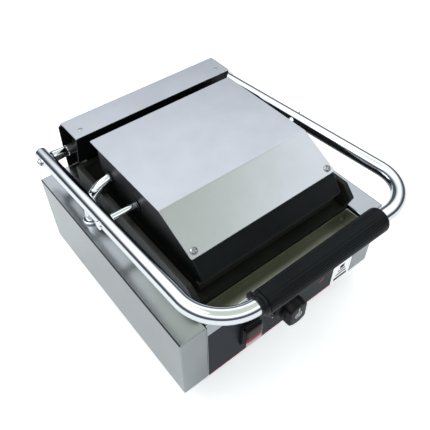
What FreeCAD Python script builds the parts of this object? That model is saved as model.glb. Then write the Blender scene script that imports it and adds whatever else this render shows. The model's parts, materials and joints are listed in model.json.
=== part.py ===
"""Commercial panini press: a contact grill with a spring-balanced, floating lid.

Frame: +Z up, the front of the grill faces -Y, origin on the table below the middle of the grill.
Distances named *_back are measured from the front face of the body, *_rise from the deck, which is
the top face of the body. All sizes are in millimetres.
"""
import FreeCAD, Part
import math
import os
import re
import Sketcher

CROSS_REACH = 38.5      # how far the handle's cross bar lies in front of the body
GRIP_THICK = 13.5       # radius of the grip at its thick end
GLAND_REACH = 6.0       # how far the cable gland stands behind the body
BODY_DEPTH = 288.0
OVERALL_DEPTH = CROSS_REACH + GRIP_THICK + BODY_DEPTH + GLAND_REACH
ARM_SLOPE = 0.08        # the handle rises by this much for each millimetre towards the front

DIMENSIONS = {
    # body
    "body_width": 290.0,
    "body_depth": BODY_DEPTH,
    "body_height": 102.0,
    "front_y": CROSS_REACH + GRIP_THICK - OVERALL_DEPTH / 2,
    "foot_height": 28.0,
    "foot_radius": 14.0,
    "foot_inset": 34.0,
    "foot_screw_radius": 2.5,
    "skin": 1.2,
    "seam": 0.4,
    "cheek_width": 32.0,
    "pan_lip": 14.0,
    "gland_radius": 8.0,
    "gland_proud": GLAND_REACH,
    # control panel
    "decal_top": 85.0,
    "decal_thick": 0.4,
    "knob_x": -4.0,
    "knob_height": 43.5,
    "knob_radius": 20.0,
    "knob_depth": 21.0,
    "knob_skirt": 6.5,
    "knob_bar": 19.0,
    "knob_lift": 1.2,
    "shaft_radius": 3.0,
    "thermostat_radius": 19.0,
    "thermostat_depth": 26.0,
    "switch_x": -56.0,
    "switch_height": 39.0,
    "switch_width": 22.0,
    "switch_tall": 30.0,
    "bezel_width": 27.0,
    "bezel_tall": 36.0,
    "bezel_proud": 2.5,
    "switch_depth": 24.0,
    "rocker_width": 16.0,
    "rocker_tall": 24.0,
    "boot_proud": 7.0,
    "label_right": 112.0,
    "label_width": 34.0,
    "label_height": 36.0,
    # lower casting
    "rim_half": 112.0,
    "rim_wall": 6.5,
    "rim_rise": 33.0,
    "rim_top_back": 32.0,
    "rim_nose_back": 18.0,
    "rim_nose_rise": 19.0,
    "plate_back": 24.0,
    "plate_rise": 2.0,
    "plate_thick": 12.0,
    "casting_end": 246.5,
    "rib_pitch": 8.0,
    "rib_width": 4.0,
    "rib_depth": 2.0,
    "rib_end": 8.0,
    # grease trough
    "trough_depth": 28.0,
    "trough_half": 111.0,
    "trough_screw_inset": 8.0,
    "trough_screw_rise": 13.0,
    "trough_screw_radius": 2.4,
    # lid
    "plate_gap": 5.0,
    "lid_half": 97.5,
    "frame_half": 96.3,
    "frame_wall": 1.5,
    "lid_rise": 76.4,
    "lid_end": 224.7,
    "crease_back": 91.8,
    "slant_back": 41.3,
    "slant_rise": 51.6,
    "band_back": 26.0,
    "band_rise": 30.0,
    "band_lip": 3.0,
    "recess_back": 38.0,
    "frame_end": 212.0,
    "lid_screw_radius": 3.6,
    "upper_plate_back": 34.0,
    # heating
    "heater_radius": 4.0,
    "heater_bend": 22.0,
    "heater_back": 76.0,
    "heater_run": 96.0,
    # handle
    "tube_radius": 8.0,
    "tube_wall": 1.5,
    "arm_x": 133.5,
    "pivot_back": 274.0,
    "pivot_rise": 35.66,
    "tube_tail": 14.0,
    "plug_length": 8.0,
    "plug_head": 2.0,
    "handle_bend": 49.0,
    "cross_reach": CROSS_REACH,
    "grip_left": -81.0,
    "grip_right": 75.0,
    "grip_thin": 12.3,
    "grip_thick": GRIP_THICK,
    "grip_dome": 5.0,
    "collar_width": 7.0,
    "collar_radius": 11.8,
    "rod_radius": 4.8,
    "rod_back": 138.5,
    "rod_rise": 46.5,
    "rod_inner": 86.0,
    "running_fit": 0.05,
    "bush_radius": 6.4,
    "bush_flange": 8.0,
    # hinge
    "housing_half": 107.5,
    "housing_wall": 1.5,
    "housing_foot_back": 247.0,
    "housing_back": 235.4,
    "cover_rise": 77.2,
    "cover_end": 271.8,
    "shoulder_back": 284.0,
    "shoulder_rise": 64.0,
    "bracket_outer": 96.0,
    "bracket_thick": 5.0,
    "pivot_radius": 6.0,
    "pivot_bush": 8.4,
    "spacer_radius": 7.0,
    "bolt_radius": 3.0,
    "nut_radius": 4.8,
    "nut_length": 4.0,
    "spring_radius": 8.4,
    "spring_wire": 1.1,
    # conduit to the lid
    "conduit_radius": 6.0,
    "conduit_back": 192.0,
    "conduit_rise": 46.0,
    "conduit_bend": 37.0,
    "conduit_start": 92.0,
    "conduit_tail": 16.0,
    "ring_radius": 9.8,
    "ring_wire": 2.2,
}
SPRING_TURNS = 9
RIB_COUNT = 23

doc = FreeCAD.newDocument("panini_press")
sheet = doc.addObject("Spreadsheet::Sheet", "dims")
subparts = []


def fill_sheet():
    """Write every driving dimension into the sheet, its name beside it and as its alias."""
    for row, (name, value) in enumerate(DIMENSIONS.items(), start=1):
        sheet.set(f"A{row}", name)
        sheet.set(f"B{row}", str(value))
        sheet.setAlias(f"B{row}", name)
    doc.recompute()


def in_sheet(expression):
    """Put the sheet's name in front of each dimension in an expression."""
    def qualify(match):
        word = match.group(0)
        return f"dims.{word}" if word in DIMENSIONS else word
    return re.sub(r"[a-z_]+", qualify, str(expression))


def bind(thing, **properties):
    """Bind properties to expressions over the sheet."""
    for name, expression in properties.items():
        thing.setExpression(name, in_sheet(expression))


def place(thing, at, rotation=None):
    """Put an object at a point given by three expressions."""
    if rotation is not None:
        thing.Placement = FreeCAD.Placement(FreeCAD.Vector(), rotation)
    for axis, expression in zip("xyz", at):
        thing.setExpression(f"Placement.Base.{axis}", in_sheet(expression))
    return thing


def keep(thing, label):
    """Make an object a sub-part under its own name."""
    thing.Label = label
    subparts.append(thing)
    return thing


# Heights and distances that many pieces share.
DECK = "(foot_height + body_height)"
INNER = "(body_width / 2 - cheek_width)"
PLATE_TOP = f"({DECK} + plate_rise)"
LID_BASE = f"({PLATE_TOP} + plate_gap)"
FRAME_BASE = f"({LID_BASE} + plate_thick)"
FRAME_TOP = f"({DECK} + lid_rise - skin)"
PIVOT_Y = "(front_y + pivot_back)"
PIVOT_Z = f"({DECK} + pivot_rise)"
ROD_Y = "(front_y + rod_back)"
ROD_Z = f"({DECK} + rod_rise)"
CONDUIT_Y = "(front_y + conduit_back)"
REAR = "(front_y + body_depth)"
KNOB_Z = "(foot_height + knob_height)"
SWITCH_Z = "(foot_height + switch_height)"
GLAND_X = "(0.33 * body_width)"
GLAND_Z = "(foot_height + 0.25 * body_height)"

ALONG_X = FreeCAD.Rotation(FreeCAD.Vector(0, 1, 0), 90)
ALONG_Y = FreeCAD.Rotation(FreeCAD.Vector(1, 0, 0), -90)
ALONG_Z = FreeCAD.Rotation()


def box(low, size):
    """Block from its lowest corner and its three sizes."""
    block = doc.addObject("Part::Box", "block")
    bind(block, Length=size[0], Width=size[1], Height=size[2])
    return place(block, low)


def rod(start, radius, length, rotation=ALONG_Z):
    """Round bar from the middle of its first end."""
    bar = doc.addObject("Part::Cylinder", "bar")
    bind(bar, Radius=radius, Height=length)
    return place(bar, start, rotation)


def ring(centre, radius, thickness, rotation=ALONG_Z, sweep=360):
    """Torus, or the part of one that its sweep leaves."""
    torus = doc.addObject("Part::Torus", "torus")
    bind(torus, Radius1=radius, Radius2=thickness, Angle3=sweep)
    return place(torus, centre, rotation)


def group(*pieces):
    """Several separate solids as one object."""
    together = doc.addObject("Part::Compound", "group")
    together.Links = list(pieces)
    return together


def fuse(*pieces):
    joined = doc.addObject("Part::MultiFuse", "joined")
    joined.Shapes = list(pieces)
    joined.Refine = True
    return joined


def cut(base, *tools):
    for tool in tools:
        rest = doc.addObject("Part::Cut", "cut")
        rest.Base = base
        rest.Tool = tool
        base = rest
    return base


def common(first, second):
    both = doc.addObject("Part::Common", "common")
    both.Base = first
    both.Tool = second
    return both


def sketch_on(body, role, start):
    """Empty sketch parallel to one of the body's own origin planes."""
    sketch = body.newObject("Sketcher::SketchObject", "sketch")
    plane = next(item for item in body.Origin.OriginFeatures if item.Role == role)
    sketch.AttachmentSupport = [(plane, "")]
    sketch.MapMode = "FlatFace"
    sketch.setExpression("AttachmentOffset.Base.z", in_sheet(start))
    return sketch


def draw_outline(sketch, outline):
    """Closed polygon whose corners are each held by two dimensions from the origin."""
    count = len(outline)
    first = sketch.GeometryCount
    turn = 2 * math.pi / count
    corners = [FreeCAD.Vector(90 * math.cos(i * turn + 0.1), 90 * math.sin(i * turn + 0.1), 0)
               for i in range(count)]
    for i in range(count):
        sketch.addGeometry(Part.LineSegment(corners[i], corners[(i + 1) % count]))
    for i in range(count):
        after = first + (i + 1) % count
        sketch.addConstraint(Sketcher.Constraint("Coincident", first + i, 2, after, 1))
    for i, (across, up) in enumerate(outline):
        for kind, number, expression in (("DistanceX", corners[i].x, across),
                                         ("DistanceY", corners[i].y, up)):
            index = sketch.addConstraint(Sketcher.Constraint(kind, -1, 1, first + i, 1, number))
            sketch.setExpression(f"Constraints[{index}]", in_sheet(expression))


def draw_circle(sketch, centre, radius):
    index = sketch.addGeometry(Part.Circle(FreeCAD.Vector(9, 9, 0), FreeCAD.Vector(0, 0, 1), 5))
    for kind, expression in (("DistanceX", centre[0]), ("DistanceY", centre[1])):
        held = sketch.addConstraint(Sketcher.Constraint(kind, -1, 1, index, 3, 9.0))
        sketch.setExpression(f"Constraints[{held}]", in_sheet(expression))
    held = sketch.addConstraint(Sketcher.Constraint("Radius", index, 5.0))
    sketch.setExpression(f"Constraints[{held}]", in_sheet(radius))


def flip(plane, start):
    """Offset of a sketch: the XZ plane's normal points along -Y."""
    return f"-({start})" if plane == "XZ_Plane" else start


def extrude(body, plane, start, length, outlines=(), circles=(), kind="Pad"):
    """Pad or Pocket that runs from start towards the positive axis normal to the plane."""
    sketch = sketch_on(body, plane, flip(plane, start))
    for outline in outlines:
        draw_outline(sketch, outline)
    for centre, radius in circles:
        draw_circle(sketch, centre, radius)
    feature = body.newObject(f"PartDesign::{kind}", kind.lower())
    feature.Profile = sketch
    feature.Reversed = (plane == "XZ_Plane") == (kind == "Pad")
    bind(feature, Length=length)
    body.Tip = feature
    return feature


def new_body(label):
    return keep(doc.addObject("PartDesign::Body", "body"), label)


def rectangle(low, high):
    """Outline of a rectangle from two opposite corners."""
    return [(low[0], low[1]), (high[0], low[1]), (high[0], high[1]), (low[0], high[1])]


def revolve(body, plane, outline, centre):
    """Turned piece about its sketch's horizontal axis, moved to its centre by the body."""
    sketch = sketch_on(body, plane, "0")
    draw_outline(sketch, outline)
    feature = body.newObject("PartDesign::Revolution", "revolution")
    feature.Profile = sketch
    feature.ReferenceAxis = (sketch, ["H_Axis"])
    bind(feature, Angle="360")
    body.Tip = feature
    place(body, centre)
    return feature


# ---------------------------------------------------------------- body of the grill

def cheek(side, label):
    """Folded stainless box on one side of the body, open underneath, with a window inwards."""
    inner = f"{side} * {INNER}"
    outer = f"{side} * body_width / 2"
    left, right = (outer, inner) if side < 0 else (inner, outer)
    low = (left, "front_y", "foot_height")
    shell = box(low, ("cheek_width", "body_depth", "body_height"))
    hollow = box((f"{left} + skin", "front_y + skin", "foot_height - skin"),
                 ("cheek_width - 2 * skin", "body_depth - 2 * skin", "body_height"))
    window = box((f"{inner} - 2 * skin", "front_y + 0.35 * body_depth", "foot_height + skin"),
                 ("4 * skin", "0.4 * body_depth", "0.5 * body_height"))
    relief = box((f"{inner} - 2 * skin", "front_y + skin", "foot_height - skin"),
                 ("4 * skin", "body_depth - 2 * skin", "pan_lip + 2 * skin"))
    pieces = [hollow, window, relief]
    if side < 0:
        pieces.append(rod((f"-({INNER} + 0.5 * cheek_width)", CONDUIT_Y, f"{DECK} - 2 * skin"),
                          "conduit_radius + 0.6", "4 * skin"))
    keep(cut(shell, *pieces), label)


def front_panel():
    """Stainless panel between the cheeks, folded back at its top edge."""
    body = new_body("front_panel")
    edge = f"({INNER} - seam)"
    flange = "2.5 * skin"
    extrude(body, "YZ_Plane", f"-{edge}", f"2 * {edge}", outlines=[[
        ("front_y + skin", "foot_height"), ("front_y + skin", f"{DECK} - skin"),
        (f"front_y + {flange}", f"{DECK} - skin"), (f"front_y + {flange}", DECK),
        ("front_y", DECK), ("front_y", "foot_height")]])
    control_openings(body, "front_y - skin", "3 * skin")


def control_openings(body, start, depth):
    """Square hole for the switch and round hole for the thermostat's shaft."""
    low = ("switch_x - switch_width / 2", f"{SWITCH_Z} - switch_tall / 2")
    high = ("switch_x + switch_width / 2", f"{SWITCH_Z} + switch_tall / 2")
    extrude(body, "XZ_Plane", start, depth, kind="Pocket", outlines=[rectangle(low, high)],
            circles=[(("knob_x", KNOB_Z), "shaft_radius + 1")])


def control_decal():
    """Dark printed overlay on the front panel, cut out round the switch and the shaft."""
    body = new_body("control_decal")
    edge = f"({INNER} - seam - 0.6)"
    margin = "0.6"
    extrude(body, "XZ_Plane", "front_y - decal_thick", "decal_thick", outlines=[
        rectangle((f"-{edge}", f"foot_height + {margin}"), (edge, "foot_height + decal_top"))])
    control_openings(body, "front_y - 2 * decal_thick", "3 * decal_thick")


def blank_label():
    """Plain white sticker in the lower right corner of the overlay."""
    low = ("label_right - label_width", "front_y - 2 * decal_thick", "foot_height + 1.5")
    keep(box(low, ("label_width - 1.4", "decal_thick", "label_height - 1.5")), "blank_label")


def rear_panel():
    """Back of the body, folded forward at the top to carry the hinge, with slots for air."""
    body = new_body("rear_panel")
    edge = f"({INNER} - seam)"
    extrude(body, "YZ_Plane", f"-{edge}", f"2 * {edge}", outlines=[[
        (REAR, "foot_height"), (REAR, DECK), ("front_y + casting_end + seam", DECK),
        ("front_y + casting_end + seam", f"{DECK} - skin"), (f"{REAR} - skin", f"{DECK} - skin"),
        (f"{REAR} - skin", "foot_height")]])
    slots = [rectangle((f"{16 * i + 4}", "foot_height + 0.35 * body_height"),
                       (f"{16 * i + 9}", "foot_height + 0.75 * body_height"))
             for i in range(-5, 5)]
    extrude(body, "XZ_Plane", f"{REAR} - 3 * skin", "4 * skin", kind="Pocket", outlines=slots,
            circles=[((GLAND_X, GLAND_Z), "gland_radius + running_fit")])


def base_pan():
    """Folded tray that closes the body from below, with slots for air."""
    body = new_body("base_pan")
    side = "(body_width / 2 - skin - seam)"
    front = "(front_y + 3 * skin)"
    rear = "(front_y + body_depth - 2 * skin)"
    extrude(body, "XY_Plane", "foot_height", "pan_lip",
            outlines=[rectangle((f"-{side}", front), (side, rear))])
    extrude(body, "XY_Plane", "foot_height + skin", "pan_lip", kind="Pocket",
            outlines=[rectangle((f"-{side} + skin", f"{front} + skin"),
                                (f"{side} - skin", f"{rear} - skin"))])
    slots = [rectangle((f"{18 * i - 3}", "front_y + 0.3 * body_depth"),
                       (f"{18 * i + 3}", "front_y + 0.6 * body_depth")) for i in range(-4, 5)]
    extrude(body, "XY_Plane", "foot_height - skin", "3 * skin", kind="Pocket", outlines=slots,
            circles=[(spot, "foot_screw_radius + running_fit") for spot in foot_places()])


def foot_places():
    """The four corners where the feet stand."""
    across = "(body_width / 2 - foot_inset)"
    for x in (f"-{across}", across):
        for y in ("front_y + foot_inset", "front_y + body_depth - foot_inset"):
            yield x, y


def feet():
    """Tapered rubber feet, each with a screw up into the pan."""
    rubbers = []
    screws = []
    for x, y in foot_places():
        cone = doc.addObject("Part::Cone", "cone")
        bind(cone, Radius1="foot_radius - 2", Radius2="foot_radius", Height="foot_height")
        place(cone, (x, y, "0"))
        well = rod((x, y, "-1"), "2 * foot_screw_radius", "8")
        bore = rod((x, y, "0"), "foot_screw_radius", "foot_height + 1")
        rubbers.append(cut(cone, well, bore))
        shank = rod((x, y, "7"), "foot_screw_radius", "foot_height - 3")
        head = rod((x, y, "4"), "1.8 * foot_screw_radius", "3")
        screws.append(fuse(shank, head))
    keep(group(*rubbers), "feet")
    keep(group(*screws), "foot_screws")


def cable_gland():
    """Flanged bush at the back through which the mains lead would come."""
    depth = "10"
    barrel = rod((GLAND_X, f"{REAR} - {depth}", GLAND_Z), "gland_radius", f"{depth} + 0.5 * skin",
                 ALONG_Y)
    flange = rod((GLAND_X, REAR, GLAND_Z), "gland_radius + 3", "gland_proud", ALONG_Y)
    bore = rod((GLAND_X, f"{REAR} - {depth} - 1", GLAND_Z), "0.5 * gland_radius",
               f"{depth} + gland_proud + 2", ALONG_Y)
    keep(cut(fuse(barrel, flange), bore), "cable_gland")


def terminal_block():
    """Three-way porcelain block on the pan beside the gland."""
    at = ("0.2 * body_width", "front_y + 0.8 * body_depth", "foot_height + skin")
    block = box(at, ("46", "22", "18"))
    holes = [rod((f"{at[0]} + {8 + 15 * i}", f"{at[1]} - 1", "foot_height + 12"), "3", "24",
                 ALONG_Y) for i in range(3)]
    keep(cut(block, *holes), "terminal_block")


def bent_bar(label, points, radius, bend):
    """Round bar of one thickness along straight runs joined by tangent arcs."""
    corners = [FreeCAD.Vector(*point) for point in points]
    edges = []
    start = corners[0]
    for before, corner, after in zip(corners, corners[1:], corners[2:]):
        back = (before - corner).normalize()
        ahead = (after - corner).normalize()
        half_turn = (math.pi - back.getAngle(ahead)) / 2
        trim = bend * math.tan(half_turn)
        into = corner + back * trim
        out = corner + ahead * trim
        middle = corner + (back + ahead).normalize() * (bend / math.cos(half_turn) - bend)
        edges.append(Part.LineSegment(start, into).toShape())
        edges.append(Part.Arc(into, middle, out).toShape())
        start = out
    edges.append(Part.LineSegment(start, corners[-1]).toShape())
    section = Part.Wire(Part.makeCircle(radius, corners[0], corners[1] - corners[0]))
    bar = doc.addObject("Part::Feature", "bar")
    bar.Shape = Part.Wire(edges).makePipeShell([section], True, False)
    return keep(bar, label)


def wires():
    """Sleeved wires from the terminal block to the thermostat, and its capillary to the bulb."""
    size = {name: float(sheet.get(name)) for name in DIMENSIONS}
    can_back = size["front_y"] + 4 + size["thermostat_depth"]
    can_z = size["foot_height"] + size["knob_height"]
    block_x = 0.2 * size["body_width"] + 8
    block_y = size["front_y"] + 0.8 * size["body_depth"]
    low = size["foot_height"] + 12
    bent_bar("wire_loom", [(block_x, block_y - 0.3, low), (block_x, can_back + 40, low),
                           (size["knob_x"], can_back + 40, low),
                           (size["knob_x"], can_back + 40, can_z - 6),
                           (size["knob_x"], can_back + 0.3, can_z - 6)], 2.6, 12)
    bulb_x = -2 * size["heater_bend"]
    bulb_y = size["front_y"] + size["heater_back"] + 6
    high = (size["foot_height"] + size["body_height"] + size["plate_rise"]
            - size["plate_thick"] - 4)
    bent_bar("capillary", [(size["knob_x"], can_back + 0.3, can_z + 8),
                           (size["knob_x"], can_back + 9, can_z + 8),
                           (bulb_x, can_back + 9, can_z + 8), (bulb_x, can_back + 9, high),
                           (bulb_x, bulb_y, high)], 1.0, 4)


# ---------------------------------------------------------------- controls

def thermostat():
    """Thermostat behind the panel with its sensing bulb under the plate."""
    z = KNOB_Z
    can = rod(("knob_x", "front_y + 4", z), "thermostat_radius", "thermostat_depth", ALONG_Y)
    nose = rod(("knob_x", "front_y + skin", z), "7", "4", ALONG_Y)
    bore = rod(("knob_x", "front_y", z), "shaft_radius + running_fit", "16", ALONG_Y)
    keep(cut(fuse(can, nose), bore), "thermostat_body")
    keep(rod(("-2 * heater_bend", "front_y + heater_back + 6", f"{PLATE_TOP} - plate_thick - 4"),
             "3", "70", ALONG_Y), "thermostat_bulb")


def knob():
    """Black control knob: a round skirt with a grip bar across it, on the thermostat's shaft."""
    z = KNOB_Z
    front = "(front_y - decal_thick - knob_lift - knob_depth)"
    skirt = rod(("knob_x", f"{front} + knob_depth - knob_skirt", z), "knob_radius",
                "knob_skirt", ALONG_Y)
    hub = rod(("knob_x", f"{front} + 3", z), "0.78 * knob_radius",
              "knob_depth - knob_skirt", ALONG_Y)
    bar = box(("knob_x - knob_bar / 2", front, f"{z} - knob_radius"),
              ("knob_bar", "knob_depth - 2", "2 * knob_radius"))
    round_off = rod(("knob_x", front, z), "0.88 * knob_radius", "knob_depth", ALONG_Y)
    bore = rod(("knob_x", f"{front} + 8", z), "shaft_radius", "knob_depth", ALONG_Y)
    keep(cut(fuse(skirt, hub, common(bar, round_off)), bore), "thermostat_knob")
    pointer = box(("knob_x - 0.9", f"{front} - 0.3", f"{z} + 4"), ("1.8", "0.3", "12"))
    keep(pointer, "knob_pointer")
    keep(rod(("knob_x", f"{front} + 8", z), "shaft_radius", "knob_depth + 4", ALONG_Y),
         "thermostat_shaft")


def switch():
    """Rocker switch with its bezel, its rocker in the off position and a clear splash boot."""
    z = SWITCH_Z
    face = "(front_y - decal_thick)"
    barrel = box(("switch_x - switch_width / 2 + 0.2", face, f"{z} - switch_tall / 2 + 0.2"),
                 ("switch_width - 0.4", "switch_depth", "switch_tall - 0.4"))
    bezel = box(("switch_x - bezel_width / 2", f"{face} - bezel_proud", f"{z} - bezel_tall / 2"),
                ("bezel_width", "bezel_proud", "bezel_tall"))
    well = box(("switch_x - rocker_width / 2 - 0.4", f"{face} - bezel_proud - 1",
                f"{z} - rocker_tall / 2 - 1.2"),
               ("rocker_width + 0.8", "bezel_proud + 13", "rocker_tall + 2.4"))
    keep(cut(fuse(barrel, bezel), well), "switch_body")

    rocker = new_body("switch_rocker")
    half = "rocker_tall / 2"
    extrude(rocker, "YZ_Plane", "-rocker_width / 2", "rocker_width", outlines=[[
        ("-4.2", f"-({half} - 0.6)"), ("-1.6", "0.3"), ("-4.2", f"{half} - 0.6"),
        ("4", "8"), ("6", "0.6"), ("4", "-8")]])
    extrude(rocker, "YZ_Plane", "-(rocker_width / 2 + 0.3)", "rocker_width + 0.6",
            circles=[(("0", "0"), "1.4")])
    place(rocker, ("switch_x", face, z), FreeCAD.Rotation(FreeCAD.Vector(1, 0, 0), -10))

    gap = "0.3"
    frame = box(("switch_x - bezel_width / 2 + 1", f"{face} - bezel_proud - boot_proud",
                 f"{z} - bezel_tall / 2 + 1"),
                ("bezel_width - 2", f"boot_proud - {gap}", "bezel_tall - 2"))
    inside = box(("switch_x - bezel_width / 2 + 2.2", f"{face} - bezel_proud - boot_proud + 1.2",
                  f"{z} - bezel_tall / 2 + 2.2"),
                 ("bezel_width - 4.4", "boot_proud", "bezel_tall - 4.4"))
    keep(cut(frame, inside), "switch_boot")


# ---------------------------------------------------------------- lower plate

def rib_outlines(half, low, high):
    """Grooves across a plate, side by side along X and even about the middle."""
    for i in range(RIB_COUNT):
        x = f"{i - (RIB_COUNT - 1) / 2} * rib_pitch"
        yield rectangle((f"{x} - rib_width / 2", low), (f"{x} + rib_width / 2", high))


def lower_plate():
    """Cast iron plate with ribs, raised rims at both sides and a wall at the back."""
    body = new_body("lower_plate")
    start = "(front_y + plate_back)"
    end = "(front_y + casting_end)"
    underside = f"({PLATE_TOP} - plate_thick)"
    extrude(body, "YZ_Plane", "-rim_half", "2 * rim_half", outlines=[[
        (start, underside), (end, underside), (end, f"{DECK} + rim_rise"),
        ("front_y + rim_top_back", f"{DECK} + rim_rise"),
        ("front_y + rim_nose_back", f"{DECK} + rim_nose_rise"), (start, PLATE_TOP)]])
    inside = "(rim_half - rim_wall)"
    extrude(body, "XY_Plane", PLATE_TOP, "rim_rise + 5", kind="Pocket",
            outlines=[rectangle((f"-{inside}", "front_y"), (inside, f"{end} - rim_wall"))])
    extrude(body, "XY_Plane", f"{PLATE_TOP} - rib_depth", "rib_depth + 5", kind="Pocket",
            outlines=rib_outlines(inside, f"{start} + rib_end + 6", f"{end} - rim_wall - 26"))


def plate_rails():
    """Angle rails along the cheeks that carry the casting."""
    rails = []
    for side in (-1, 1):
        outer = f"{side} * ({INNER} - seam)"
        underside = f"({PLATE_TOP} - plate_thick - 0.2)"
        ledge = box((f"{outer} - 5 - {side} * 5", "front_y + 38", f"{underside} - 3"),
                    ("10", "200", "3"))
        web = box((f"{outer} - 1 - {side}", "front_y + 38", f"{underside} - 25"),
                  ("2", "200", "25"))
        rails.append(fuse(ledge, web))
    keep(group(*rails), "plate_rails")


def heater(height, label):
    """Tubular heating element: four straight legs joined by three half turns."""
    pitch = "2 * heater_bend"
    y_low = "(front_y + heater_back)"
    y_high = "(front_y + heater_back + heater_run)"
    first = "(-3 * heater_bend)"
    pieces = [rod((f"{first} + {i} * {pitch}", y_low, height), "heater_radius", "heater_run",
                  ALONG_Y) for i in range(4)]
    for i in range(3):
        y, turn = (y_high, 0) if i % 2 == 0 else (y_low, 180)
        pieces.append(ring((f"{first} + {2 * i + 1} * heater_bend", y, height), "heater_bend",
                           "heater_radius", FreeCAD.Rotation(turn, 0, 0), 180))
    keep(fuse(*pieces), label)


def lower_heat_pack():
    """Heating element, its clamp of sheet steel and the wool below it."""
    underside = f"{PLATE_TOP} - plate_thick"
    heater(f"{underside} - heater_radius - 0.2", "lower_heating_element")
    low = ("-98", "front_y + 40", f"{underside} - 12")
    shell = box(low, ("196", "190", "1"))
    keep(shell, "lower_clamp_plate")
    keep(box(("-96", "front_y + 42", f"{underside} - 30"), ("192", "186", "17.8")),
         "lower_insulation")


def grease_trough():
    """Stainless gutter between the front panel and the plate, with closed ends."""
    body = new_body("grease_trough")
    front = "(front_y + 3.2 * skin)"
    rear = "(front_y + plate_back - 0.6)"
    bottom = f"({DECK} - trough_depth)"
    top = f"({DECK} - 2.4)"
    extrude(body, "YZ_Plane", "-trough_half", "2 * trough_half", outlines=[[
        (front, top), (front, f"{bottom} + 5"), (f"{front} + 5", bottom), (rear, bottom),
        (rear, top)]])
    extrude(body, "YZ_Plane", "-trough_half + skin", "2 * (trough_half - skin)", kind="Pocket",
            outlines=[[(f"{front} + skin", f"{top} + 1"), (f"{front} + skin", f"{bottom} + 5.5"),
                       (f"{front} + 5.5", f"{bottom} + skin"), (f"{rear} - skin", f"{bottom} + skin"),
                       (f"{rear} - skin", f"{top} + 1")]])
    keep(rod(("trough_half - trough_screw_inset", f"{rear} - skin - 0.8",
              f"{bottom} + trough_screw_rise"), "trough_screw_radius", "0.8", ALONG_Y),
         "trough_screw")


# ---------------------------------------------------------------- hinge

def hinge_housing():
    """Black folded channel over the hinge, open at both ends."""
    body = new_body("hinge_housing")
    top = f"({DECK} + cover_rise - skin)"
    wall = "housing_wall"
    rear = "(front_y + body_depth - 0.5)"
    front_top = "(front_y + housing_back)"
    front_foot = "(front_y + housing_foot_back)"
    shoulder = "(front_y + shoulder_back)"
    extrude(body, "YZ_Plane", "-housing_half", "2 * housing_half", outlines=[[
        (front_foot, f"{DECK} + rim_rise + 1"), (front_top, top),
        ("front_y + cover_end", top), (shoulder, f"{DECK} + shoulder_rise"),
        (rear, f"{DECK} + 0.37 * cover_rise"), (rear, f"{DECK} + 0.4"),
        (f"{rear} - {wall}", f"{DECK} + 0.4"),
        (f"{rear} - {wall}", f"{DECK} + 0.37 * cover_rise"),
        (f"{shoulder} - {wall}", f"{DECK} + shoulder_rise - 0.4 * {wall}"),
        (f"front_y + cover_end - 0.6 * {wall}", f"{top} - {wall}"),
        (f"{front_top} + 1.4 * {wall}", f"{top} - {wall}"),
        (f"{front_foot} + {wall}", f"{DECK} + rim_rise + 1")]])


def hinge_cover():
    """Stainless strip over the channel, with its two screws."""
    top = f"({DECK} + cover_rise)"
    keep(box(("-housing_half - 0.4", "front_y + housing_back", f"{top} - skin"),
             ("2 * housing_half + 0.8", "cover_end - housing_back", "skin")), "hinge_cover")
    screws = [rod((f"{side} * (housing_half + 0.4 - 12)", "front_y + housing_back + 12", top),
                  "2.6", "0.6") for side in (-1, 1)]
    keep(group(*screws), "cover_screws")


def hinge_bracket(side, label):
    """Steel cheek plate of the hinge with a foot on the deck and a bore for the bush."""
    body = new_body(label)
    outer = f"({side} * bracket_outer)"
    start = outer if side < 0 else f"({outer} - bracket_thick)"
    rear = "(front_y + body_depth - 4)"
    extrude(body, "YZ_Plane", start, "bracket_thick", outlines=[[
        ("front_y + casting_end + 4", f"{DECK} + 0.2"),
        ("front_y + housing_foot_back + 3", f"{DECK} + rim_rise + 2"),
        ("front_y + housing_back + 5", f"{DECK} + cover_rise - 4"),
        ("front_y + cover_end - 2", f"{DECK} + cover_rise - 4"),
        ("front_y + shoulder_back - 3", f"{DECK} + shoulder_rise - 2"),
        (rear, PIVOT_Z), (rear, f"{DECK} + 0.2")]])
    foot = f"({outer} - 18)" if side > 0 else outer
    extrude(body, "XY_Plane", f"{DECK} + 0.2", "4", outlines=[
        rectangle((foot, "front_y + casting_end + 6"), (f"{foot} + 18", f"{rear} - 1"))])
    extrude(body, "YZ_Plane", f"{start} - 1", "bracket_thick + 2", kind="Pocket",
            circles=[((PIVOT_Y, PIVOT_Z), "pivot_bush")])


def hinge_internals():
    """Bushes for the shaft, the two balance springs and the bolts of the brackets."""
    bushes = []
    bolts = []
    for side in (-1, 1):
        start = f"{side} * (bracket_outer - bracket_thick / 2) - bracket_thick / 2 - 0.5"
        ring_out = rod((start, PIVOT_Y, PIVOT_Z), "pivot_bush", "bracket_thick + 1", ALONG_X)
        bore = rod((f"{start} - 1", PIVOT_Y, PIVOT_Z), "pivot_radius + running_fit",
                   "bracket_thick + 3", ALONG_X)
        bushes.append(cut(ring_out, bore))
        for y in ("front_y + casting_end + 13", "front_y + body_depth - 13"):
            bolts.append(rod((f"{side} * (bracket_outer - 12)", y, f"{DECK} + 4.2"), "4", "3.2"))
        spring(side, "balance_spring_left" if side < 0 else "balance_spring_right")
    keep(group(*bushes), "shaft_bushes")
    keep(group(*bolts), "bracket_bolts")


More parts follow.
